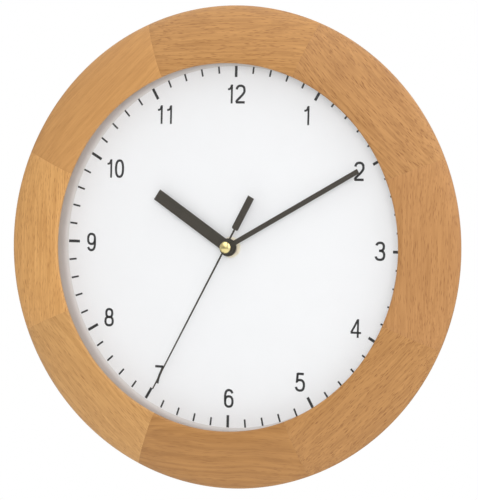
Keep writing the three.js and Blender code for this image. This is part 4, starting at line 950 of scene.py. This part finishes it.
def needle_outline():
    """The second hand: a long taper to the tip, the hub's arc (r sin a, r cos a), a narrow neck and a wide
    counterweight, its right half and the same points mirrored."""
    start = np.arcsin(NEEDLE_ROOT_HALF / NEEDLE_HUB)
    a = np.linspace(start, np.pi - start, 18)
    hub = np.c_[NEEDLE_HUB * np.sin(a), NEEDLE_HUB * np.cos(a)]
    weight = [(NEEDLE_ROOT_HALF, WEIGHT_START), (WEIGHT_HALF - WEIGHT_CHAMFER, WEIGHT_START),
              (WEIGHT_HALF, WEIGHT_START - WEIGHT_CHAMFER), (WEIGHT_HALF, WEIGHT_END)]
    right = np.vstack([[(NEEDLE_TIP_HALF, NEEDLE_REACH)], hub, weight])
    return np.vstack([right, (right * (-1, 1))[::-1]])


def hand_shape(outline, angle, levels, collar):
    """A hand: its outline as a plate turned to its angle, and a round collar behind its hub."""
    back, front = levels
    points, faces = prism(outline, back, front)
    foot, top = back - COLLAR_DEPTH, back + COLLAR_SINK
    ring = lathe([(0.0, foot), (collar, foot), (collar, top), (0.0, top)], 48)
    return gathered((around(points, angle), faces), ring)


def cap_shape():
    """The second hand's cap, turned from its section: a low rim under a dome. The dome is part of a ball as
    high as the cap in the middle: top - ball + sqrt(ball^2 - across^2)."""
    foot = SECOND_LEVELS[1]
    rise = CAP_HEIGHT - CAP_RIM
    ball = (CAP_RADIUS ** 2 + rise ** 2) / (2 * rise)
    across = np.linspace(1, 0, 19) * (CAP_RADIUS - DOME_INSET)
    dome = np.c_[across, foot + CAP_HEIGHT - ball + np.sqrt(ball ** 2 - across ** 2)]
    rim = [(0.0, foot), (CAP_RADIUS - CAP_BREAK, foot), (CAP_RADIUS, foot + CAP_BREAK),
           (CAP_RADIUS, foot + CAP_RIM - DOME_GAP)]
    return lathe(np.vstack([rim, dome]), 96)


def make_hands(paint, brass):
    """The hour, minute and second hand, each on its own body, and the cap on the second hand."""
    hour = hand_shape(bar_outline(*HOUR_BAR), HOUR_ANGLE, HOUR_LEVELS, HOUR_COLLAR)
    minute = hand_shape(bar_outline(*MINUTE_BAR), MINUTE_ANGLE, MINUTE_LEVELS, MINUTE_COLLAR)
    second = hand_shape(needle_outline(), SECOND_ANGLE, SECOND_LEVELS, SECOND_COLLAR)
    piece("hour_bar", hour, "hour_work", paint, ("hour_hand",), HAND_BREAK)
    piece("minute_bar", minute, "minute_work", paint, ("minute_hand",), HAND_BREAK)
    piece("second_needle", second, "seconds_work", paint, ("second_hand",), HAND_BREAK)
    piece("brass_cap", cap_shape(), "seconds_work", brass, ("second_hand_cap",), sharp=30)


# Bush, nut and washers that hold the dial on the movement

THREAD_BORE = 4.08
WASHER_RADIUS = 6.6
WASHER_HEIGHT = 0.4
WASHER_BREAK = 0.1

BUSH_RADIUS = 4.0
BUSH_BORE = 2.54
BUSH_BACK = -7.6
BUSH_TOP = 3.2
BUSH_END_RADIUS = 3.7
FLANGE_RADIUS = 5.2
FLANGE_FRONT = -7.0
THREAD_FOOT = 0.2
THREAD_START = 0.3
THREAD_LENGTH = 2.75
THREAD_MIDDLE = 3.86
THREAD_SWING = 0.13
THREAD_TURNS = 8

PAD_RADIUS = 12.0
PAD_BACK = -5.5
PAD_BREAK = 0.3

NUT_HALF_FLATS = 5.5
NUT_STEPS = 144
# The nut's heights, and the radius that its corners are turned down to at each
NUT_LEVELS = (0.4, 0.42, 0.75, 1.85, 2.18, 2.2)
NUT_CONE = (5.35, 5.45, 6.4, 6.4, 5.45, 5.35)


def nut_shape():
    """A hexagon nut whose corners are turned off: at each height the radius is the hexagon's, half flats over
    cos of the angle from a flat's middle, or a cone's where that is less. Its bore is round."""
    a = np.linspace(0, 2 * np.pi, NUT_STEPS, endpoint=False)[:, None]
    flats = NUT_HALF_FLATS / np.cos((a % (np.pi / 3)) - np.pi / 6)
    bore = np.full((NUT_STEPS, 2), THREAD_BORE)
    radius = np.hstack([np.minimum(flats, np.array(NUT_CONE)[None]), bore])
    level = np.array([*NUT_LEVELS, NUT_LEVELS[-1], NUT_LEVELS[0]])[None] + 0 * a
    points = np.stack([radius * np.sin(a), radius * np.cos(a), level], -1)
    return points.reshape(-1, 3), grid_faces(*points.shape[:2], wrap_rows=True, wrap_columns=True)


def bush_shape():
    """The threaded bush, turned from its section: a flange, a shank, and a thread drawn as rings whose
    radius swings as a cosine of the height."""
    t = np.linspace(0, 1, 33)
    thread = np.c_[THREAD_MIDDLE + THREAD_SWING * np.cos(t * THREAD_TURNS * 2 * np.pi),
                   THREAD_START + THREAD_LENGTH * t]
    shank = [(BUSH_BORE, BUSH_BACK), (FLANGE_RADIUS, BUSH_BACK), (FLANGE_RADIUS, FLANGE_FRONT),
             (BUSH_RADIUS, FLANGE_FRONT), (BUSH_RADIUS, THREAD_FOOT)]
    end = [(BUSH_END_RADIUS, BUSH_TOP), (BUSH_BORE, BUSH_TOP)]
    return lathe(np.vstack([shank, thread, end]), 96)


def make_fitting(brass, nut_brass_painted_reflection, pale_brass_painted_reflection, rubber):
    """Washer, nut, bush and rubber pad. Washer and pad are flat rings turned from their sections, with
    broken edges."""
    brim = WASHER_HEIGHT - WASHER_BREAK
    washer = lathe([(THREAD_BORE, 0.0), (WASHER_RADIUS, 0.0), (WASHER_RADIUS, brim),
                    (WASHER_RADIUS - WASHER_BREAK, WASHER_HEIGHT), (THREAD_BORE, WASHER_HEIGHT)], 96)
    pad = lathe([(BORE_RADIUS, PAD_BACK), (PAD_RADIUS - PAD_BREAK, PAD_BACK),
                 (PAD_RADIUS, PAD_BACK + PAD_BREAK), (PAD_RADIUS, BOARD_BACK - PAD_BREAK),
                 (PAD_RADIUS - PAD_BREAK, BOARD_BACK), (BORE_RADIUS, BOARD_BACK)], 96)
    # Washer and nut colours are partly painted reflection of the white dial
    piece("washer", washer, "clock_body", pale_brass_painted_reflection, ("brass_washer",))
    piece("nut", nut_shape(), "clock_body", nut_brass_painted_reflection, ("fixing_nut",), sharp=25)
    piece("bush", bush_shape(), "clock_body", brass, ("threaded_bush",))
    piece("rubber_pad", pad, "clock_body", rubber, ("rubber_washer",))


# Clips and screws at the back

CLIPS = 4
FIRST_CLIP_DEGREES = 45
CLIP_BREAK = 0.12
# Where the clip's section stands along its width
CLIP_STEPS = (-6.0, -5.4, 5.4, 6.0)
# The bent sheet's section as (radius, height): foot on the board, bend, and the leg on the frame's wall
CLIP_SECTION = ((107.9, -5.5), (115.4, -5.5), (115.85, -5.63), (116.1, -6.1), (116.1, -14.5),
                (117.1, -14.5), (117.1, -5.6), (116.9, -4.9), (116.2, -4.5), (107.9, -4.5))
CLIP_SCREW_TOP = 114.8
CLIP_SCREW_HEIGHT = -10.0

# Each screw's rings as (radius, depth under the head's top), then its cross recess: half the slot's width,
# the slot's reach, the depth up to which the head counts as its flat top, and how far the recess sinks
PAN_HEAD = ((0.0, 0.0), (0.35, 0.0), (0.7, 0.0), (1.05, 0.0), (1.4, 0.04), (1.8, 0.14), (2.2, 0.34),
            (2.5, 0.65), (2.6, 1.0), (2.6, 1.3), (1.3, 1.3), (1.3, 8.6), (0.6, 10.0), (0.0, 10.3))
PAN_RECESS = (0.34, 1.25, 0.2, 0.75)
FLAT_HEAD = ((0.0, 0.0), (0.4, 0.0), (0.8, 0.0), (1.2, 0.0), (1.6, 0.0), (2.2, 0.0), (2.9, 0.0),
             (3.0, 0.08), (1.5, 1.5), (1.5, 12.0), (0.7, 13.6), (0.0, 14.0))
FLAT_RECESS = (0.36, 1.5, 0.05, 0.8)


def screw_rings(rings, half_slot, reach, flat, sink):
    """A screw's points as (u, v, depth) with u = r cos a and v = r sin a, and its faces. Where the smaller of
    |u| and |v| is under half the slot and the larger under its reach, the head's flat top sinks."""
    rings = np.array(rings)
    a = np.linspace(0, 2 * np.pi, 64, endpoint=False)[:, None]
    radius, depth = rings[None, :, 0] + 0 * a, rings[None, :, 1] + 0 * a
    u, v = radius * np.cos(a), radius * np.sin(a)
    small, large = np.minimum(np.abs(u), np.abs(v)), np.maximum(np.abs(u), np.abs(v))
    recess = (small < half_slot) & (large < reach) & (depth < flat)
    return u, v, depth + np.where(recess, sink, 0.0), grid_faces(*u.shape, wrap_rows=True)


def clip_shape(degrees):
    """An angle clip: the bent sheet's section carried straight along x, then turned to its place."""
    path = np.array([(x, 0.0, 0.0) for x in CLIP_STEPS])
    outwards = np.tile([0.0, 1.0, 0.0], (len(path), 1))
    lift = np.tile([0.0, 0.0, 1.0], (len(path), 1))
    points, faces = carried(CLIP_SECTION, path, outwards, lift)
    return around(points, degrees), faces


def clip_screw_shape(degrees):
    """A pan-head screw driven outwards along the radius."""
    u, v, depth, faces = screw_rings(PAN_HEAD, *PAN_RECESS)
    points = np.stack([u, CLIP_SCREW_TOP + depth, v + CLIP_SCREW_HEIGHT], -1)
    return around(points.reshape(-1, 3), degrees), faces


def hanger_screw_shape(x):
    """A countersunk screw set into the hanger plate, driven forwards from the wall side."""
    u, v, depth, faces = screw_rings(FLAT_HEAD, *FLAT_RECESS)
    points = np.stack([x + u, HANGER_MIDDLE + v, WALL + depth], -1)
    return points.reshape(-1, 3), faces


def make_clips(steel):
    """Four angle clips between the hours, each with its screw, and the hanger plate's two screws."""
    for index in range(CLIPS):
        degrees = FIRST_CLIP_DEGREES + index * 360 // CLIPS
        piece("angle_clip_%d" % (index + 1), clip_shape(degrees), "clock_body", steel,
              ("board_clip_%d" % (index + 1),), CLIP_BREAK)
        piece("clip_fixing_%d" % (index + 1), clip_screw_shape(degrees), "clock_body", steel,
              ("clip_screw_%d" % (index + 1),))
    for index, x in enumerate(HANGER_SCREWS):
        piece("hanger_fixing_%d" % (index + 1), hanger_screw_shape(x), "clock_body", steel,
              ("hanger_screw_%d" % (index + 1),))


# Movement

CASE_BREAK = 0.45
COVER_LEVELS = (-22.2, -21.0)
COVER_BOX = (-28.0, -11.4, 28.0, 28.0)
COVER_CORNER = 2.5
COVER_BREAK = 0.22

# Each button's name, body, place across and radius
BUTTONS = (("set", "set_key", -13.0, 2.2), ("receive", "receive_key", 0.0, 2.2),
           ("reset", "reset_key", 13.0, 1.3))
BUTTON_Y = 10.6
BUTTON_PLAY = 0.15
# The cap's dish as (share of its radius, height) and its rim as (distance inside its radius, height)
BUTTON_DISH = ((0.0, -22.95), (0.5, -23.0), (0.75, -23.12))
BUTTON_RIM = ((0.25, -23.2), (0.07, -23.13), (0.0, -22.95))
# The collar behind the cover: how much wider it is, its broken edge and its end
BUTTON_COLLAR = 0.7
COLLAR_BREAK = 0.08
BUTTON_FOOT = -20.3

# The cell's middle. Its axis lies along x.
CELL_AT = (0.0, -19.0, -14.6)
# The cell's steel can and the printed film round it, as (radius, place along the cell's axis)
CELL_CAN = ((0, -25.25), (4.6, -25.25), (4.8, -25.1), (6.4, -25.1), (6.9, -25.0), (7.12, -24.75),
            (7.12, 23.6), (6.9, 23.95), (5.2, 24.05), (3.2, 24.05), (2.85, 24.2), (2.75, 24.4), (2.75, 25.0),
            (2.55, 25.2), (2.2, 25.25), (0, 25.25))
CELL_FILM = ((7.15, -24.6), (7.25, -24.5), (7.25, 23.4), (7.15, 23.6), (6.85, 23.98), (5.4, 24.08),
             (5.4, 24.0), (6.85, 23.9), (7.1, 23.5), (7.1, -24.6))


def well_shape(x, radius):
    """The hole in the cover that a button moves in: a rod through the cover."""
    back, front = COVER_LEVELS[0] - CUT_OVERRUN, COVER_LEVELS[1] + CUT_OVERRUN
    wide = radius + BUTTON_PLAY
    return lathe([(0, back), (wide, back), (wide, front), (0, front)], 48, (x, BUTTON_Y, 0.0))


def button_shape(x, radius):
    """A push button turned from its section: a dished cap, a straight side, and a wider collar that stays
    behind the cover."""
    dish = [(share * radius, height) for share, height in BUTTON_DISH]
    rim = [(radius - inside, height) for inside, height in BUTTON_RIM]
    collar, seat = radius + BUTTON_COLLAR, COVER_LEVELS[1]
    stem = [(radius, seat), (collar - COLLAR_BREAK, seat), (collar, seat + COLLAR_BREAK),
            (collar, BUTTON_FOOT), (0, BUTTON_FOOT)]
    return lathe(dish + rim + stem, 48, (x, BUTTON_Y, 0.0))


def make_movement(case, grey, film, steel):
    """The movement's outside: the case, the back cover with three buttons in their wells, and the cell. The
    cover is a rounded plate, and can and film are turned about the cell's axis."""
    rounded_copy("case_shell", "movement_case", case, CASE_BREAK, COVER_LEVELS[1])
    plate = prism(rounded_outline(*COVER_BOX, COVER_CORNER), *COVER_LEVELS)
    cover = piece("back_cover", plate, "clock_body", case, ("movement_cover",))
    hollowed(cover, [well_shape(x, radius) for _, _, x, radius in BUTTONS])
    soften(cover, COVER_BREAK)
    for name, body, x, radius in BUTTONS:
        piece(name + "_push", button_shape(x, radius), body, grey, (name + "_button",))
    can, wrap = lathe(CELL_CAN, 64, CELL_AT, "x"), lathe(CELL_FILM, 64, CELL_AT, "x")
    piece("cell_can", can, "clock_body", steel, ("battery_cell",))
    piece("cell_wrap", wrap, "clock_body", film)


# Camera, fitted to the sixty marks of the photographed dial

# Yaw, pitch and roll in degrees, and the dial's middle as the camera sees it, in millimetres
CAMERA_TURNS = (22.09, 1.62, -1.39)
DIAL_SEEN_AT = (-4.85, -1.69, 1398.0)
# The focal length in pixels of a picture whose long side has this many
FOCAL_PIXELS = 2243.9
LONG_SIDE = 500.0
SENSOR_WIDTH = 36.0


def camera_axes(yaw, pitch, roll):
    """Right, down and forward of the camera in the dial's frame: its three turns, in degrees, one after the
    other."""
    y, p, r = np.radians([yaw, pitch, roll])
    turn_y = np.array([[np.cos(y), 0, -np.sin(y)], [0, 1, 0], [np.sin(y), 0, np.cos(y)]])
    turn_x = np.array([[1, 0, 0], [0, np.cos(p), -np.sin(p)], [0, np.sin(p), np.cos(p)]])
    turn_z = np.array([[np.cos(r), -np.sin(r), 0], [np.sin(r), np.cos(r), 0], [0, 0, 1]])
    return np.diag([1, -1, -1]) @ turn_z @ turn_x @ turn_y


def make_camera():
    """The photograph's camera. Its place is the dial's middle as it sees it, turned back into the dial's
    frame with the sign changed."""
    axes = camera_axes(*CAMERA_TURNS)
    place = -axes.T @ np.array(DIAL_SEEN_AT)
    data = bpy.data.cameras.new("camera")
    data.lens = FOCAL_PIXELS * SENSOR_WIDTH / LONG_SIDE
    data.sensor_width = SENSOR_WIDTH
    data.sensor_fit = "AUTO"
    data.clip_end = 50.0
    obj = bpy.data.objects.new("camera", data)
    bpy.context.scene.collection.objects.link(obj)
    right, up, back = ([v[0], -v[2], v[1]] for v in (axes[0], -axes[1], -axes[2]))
    matrix = Matrix((right, up, back)).transposed().to_4x4()
    matrix.translation = Vector(upright(place))
    obj.matrix_world = matrix
    bpy.context.scene.camera = obj


# Light. Directions point from the clock, in the part's frame.

FILL = 0.64
FILL_LEAST = 0.03
FILL_TOWARDS = (0.42, 0.0, 0.9)
# What reflections see: a soft step along each direction, from where to where and from which strength to
# which: bright above, a little dimmer round the camera, and a dark gap in the upright plane through it
MIRROR_TOWARDS = (0.42, 0.0, 0.91)
MIRROR_STEP = (-0.3, 0.95, 0.34, 2.4)
CAMERA_TOWARDS = (-0.383, -0.923, -0.03)
CAMERA_STEP = (0.9, 0.975, 1.0, 0.9)
BESIDE_CAMERA = (0.924, 0.38, 0.0)
GAP_STEP = (0.05, 0.13, 0.12, 1.0)
SOFTBOX_POWER = 5.2
SOFTBOX_AT = (0.42, -1.08, 0.05)
SOFTBOX_AIM = (0.0, 0.0, -0.13)
SOFTBOX_SIZE = (0.6, 0.45)


def make_softbox():
    """One large lamp in front of the clock, seen by no camera, mirror or glass."""
    data = bpy.data.lights.new("softbox_front", "AREA")
    data.shape = "RECTANGLE"
    data.size, data.size_y = SOFTBOX_SIZE
    data.energy = SOFTBOX_POWER
    obj = bpy.data.objects.new("softbox_front", data)
    bpy.context.scene.collection.objects.link(obj)
    obj.visible_camera = False
    obj.visible_glossy = False
    obj.visible_transmission = False
    at, aim = Vector(SOFTBOX_AT), Vector(SOFTBOX_AIM)
    obj.matrix_world = Matrix.Translation(at) @ (aim - at).to_track_quat("-Z", "Y").to_matrix().to_4x4()


def make_light():
    """A white studio: even light from all round, stronger from above and the right, one large softbox in
    front and above, and for reflections a dim front with a dark gap where the camera stands."""
    world = bpy.data.worlds.new("studio")
    bpy.context.scene.world = world
    world.use_nodes = True
    tree = world.node_tree

    def node(kind, settings=(), *values):
        """A node with its settings and its inputs in order, None for one that is left as it is."""
        made = tree.nodes.new("ShaderNode" + kind)
        for key, value in dict(settings).items():
            setattr(made, key, value)
        for index, value in enumerate(values):
            if isinstance(value, bpy.types.NodeSocket):
                tree.links.new(value, made.inputs[index])
            elif value is not None:
                made.inputs[index].default_value = value
        return made

    def math(operation, *values):
        """Values joined by an operation."""
        return node("Math", {"operation": operation}, *values).outputs["Value"]

    def towards(axis):
        """How far the looked-up direction points along an axis, from -1 to 1."""
        return node("VectorMath", {"operation": "DOT_PRODUCT"}, direction, axis).outputs["Value"]

    def step(value, low, high, to_low, to_high):
        """A soft step from one value to another."""
        made = node("MapRange", {"interpolation_type": "SMOOTHSTEP"}, value, low, high, to_low, to_high)
        return made.outputs["Result"]

    def either(ray, a, b):
        """One value for other rays, another for this kind."""
        return node("Mix", {"data_type": "FLOAT"}, ray, None, a, b).outputs[0]

    direction = node("TexCoord").outputs["Generated"]
    above = math("MAXIMUM", math("ADD", towards(FILL_TOWARDS), 1.0), FILL_LEAST)
    fill = math("MULTIPLY", above, FILL)
    gap = step(math("ABSOLUTE", towards(BESIDE_CAMERA)), *GAP_STEP)
    seen = step(towards(MIRROR_TOWARDS), *MIRROR_STEP)
    dim = step(towards(CAMERA_TOWARDS), *CAMERA_STEP)
    mirror = math("MULTIPLY", math("MULTIPLY", seen, dim), gap)
    path = node("LightPath").outputs
    strength = either(path["Is Camera Ray"], either(path["Is Glossy Ray"], fill, mirror), 1.0)
    tree.links.new(strength, tree.nodes["Background"].inputs["Strength"])
    tree.nodes["Background"].inputs["Color"].default_value = (1.0, 1.0, 1.0, 1.0)
    make_softbox()
    bpy.context.scene.view_settings.view_transform = "Standard"
    bpy.context.scene.view_settings.look = "None"


# Floor, far enough under the clock to stay out of the photograph's frame

FLOOR_RADIUS = 3000.0
FLOOR_THICKNESS = 4.0
FLOOR_DROP = 900.0


def make_floor():
    """A pale round floor: a flat disc about the vertical axis."""
    section = [(0.0, -FLOOR_THICKNESS), (FLOOR_RADIUS, -FLOOR_THICKNESS), (FLOOR_RADIUS, 0.0), (0.0, 0.0)]
    points, faces = lathe(section, 64)
    mesh = bpy.data.meshes.new("floor")
    mesh.from_pydata(((points - (0.0, 0.0, FLOOR_DROP)) * MM).tolist(), [], faces)
    obj = bpy.data.objects.new("floor", mesh)
    bpy.context.scene.collection.objects.link(obj)
    obj.data.materials.append(even_paint("pale_floor", (0.82, 0.82, 0.82), 0.7, grain=0.01))


# Everything together

def make_front():
    """What the photograph shows: frame, dial, surround, hands and their fitting, and the glass."""
    print_black = even_paint("dial_print", (0.012, 0.012, 0.013), 0.5)
    dial_white = even_paint("dial_white", (0.838, 0.845, 0.857), 0.45, grain=0.006, relief=0.003)
    hand_satin = even_paint("hand_satin", (0.032, 0.025, 0.015), 0.42, grain=0.05)
    brass = metal("polished_brass", (0.95, 0.8, 0.36), 0.12)
    # Washer and nut: brass whose pale, light tone is partly painted reflection of the white dial round them
    pale_brass_painted_reflection = metal("washer_painted_reflection", (0.97, 0.92, 0.8), 0.45, bare=0.45)
    nut_brass_painted_reflection = metal("satin_nut_painted_reflection", (0.95, 0.85, 0.66), 0.45, bare=0.5)
    rubber = moulded("black_rubber_skin", (0.02, 0.02, 0.021), 0.75, spark=1800, relief=0.03)
    make_frame()
    make_dial(dial_white, print_black)
    make_surround(ring_enamel())
    make_hands(hand_satin, brass)
    make_fitting(brass, nut_brass_painted_reflection, pale_brass_painted_reflection, rubber)
    dress(clear_glass(), "glass")


def make_back():
    """What stands behind the dial: board, clips, hanger and the whole movement."""
    zinc = metal("zinc_plate", (0.6, 0.62, 0.63), 0.34, (1400, 1400, 500), tint=0.1, relief=0.01)
    case = moulded("case_black", (0.018, 0.018, 0.02), 0.48)
    grey = moulded("button_grey", (0.5, 0.51, 0.53), 0.42, spark=2200, relief=0.01)
    acetal = moulded("acetal_white", (0.78, 0.76, 0.68), 0.4, spark=1500, relief=0.008)
    iron = metal("stator_iron", (0.5, 0.5, 0.5), 0.4, (400, 400, 1800), tint=0.08, relief=0.01)
    nickel = metal("contact_nickel", (0.68, 0.66, 0.6), 0.28, (1500, 1500, 300))
    make_clips(zinc)
    dress(zinc, "hanger_plate")
    dress(hardboard(), "backing_board")
    make_movement(case, grey, cell_print(), metal("cell_steel", (0.72, 0.72, 0.7), 0.25, tint=0.05))
    dress(moulded("bridge_grey", (0.35, 0.36, 0.38), 0.5), "train_bridge")
    dress(acetal, "hour_wheel", "minute_wheel", "motion_wheel", "minute_intermediate_wheel",
          "seconds_wheel", "seconds_intermediate_wheel")
    dress(sintered("rotor_magnet", (0.1, 0.1, 0.105)), "minute_rotor", "seconds_rotor")
    dress(iron, "minute_motor_stator", "seconds_motor_stator")
    dress(winding("motor_wire", "Z"), "minute_motor_coil", "seconds_motor_coil")
    dress(winding("antenna_wire", "X"), "antenna_coil")
    dress(sintered("ferrite_rod", (0.04, 0.04, 0.045)), "antenna_rod")
    dress(printed_board(), "circuit_board")
    dress(moulded("chip_black", (0.012, 0.012, 0.013), 0.55, spark=3500, relief=0.01), "receiver_chip")
    dress(metal("crystal_can", (0.7, 0.7, 0.69), 0.22, (300, 2000, 2000)), "quartz_crystal")
    dress(nickel, "positive_contact", "negative_contact")


make_camera()
make_light()
make_floor()
make_front()
make_back()
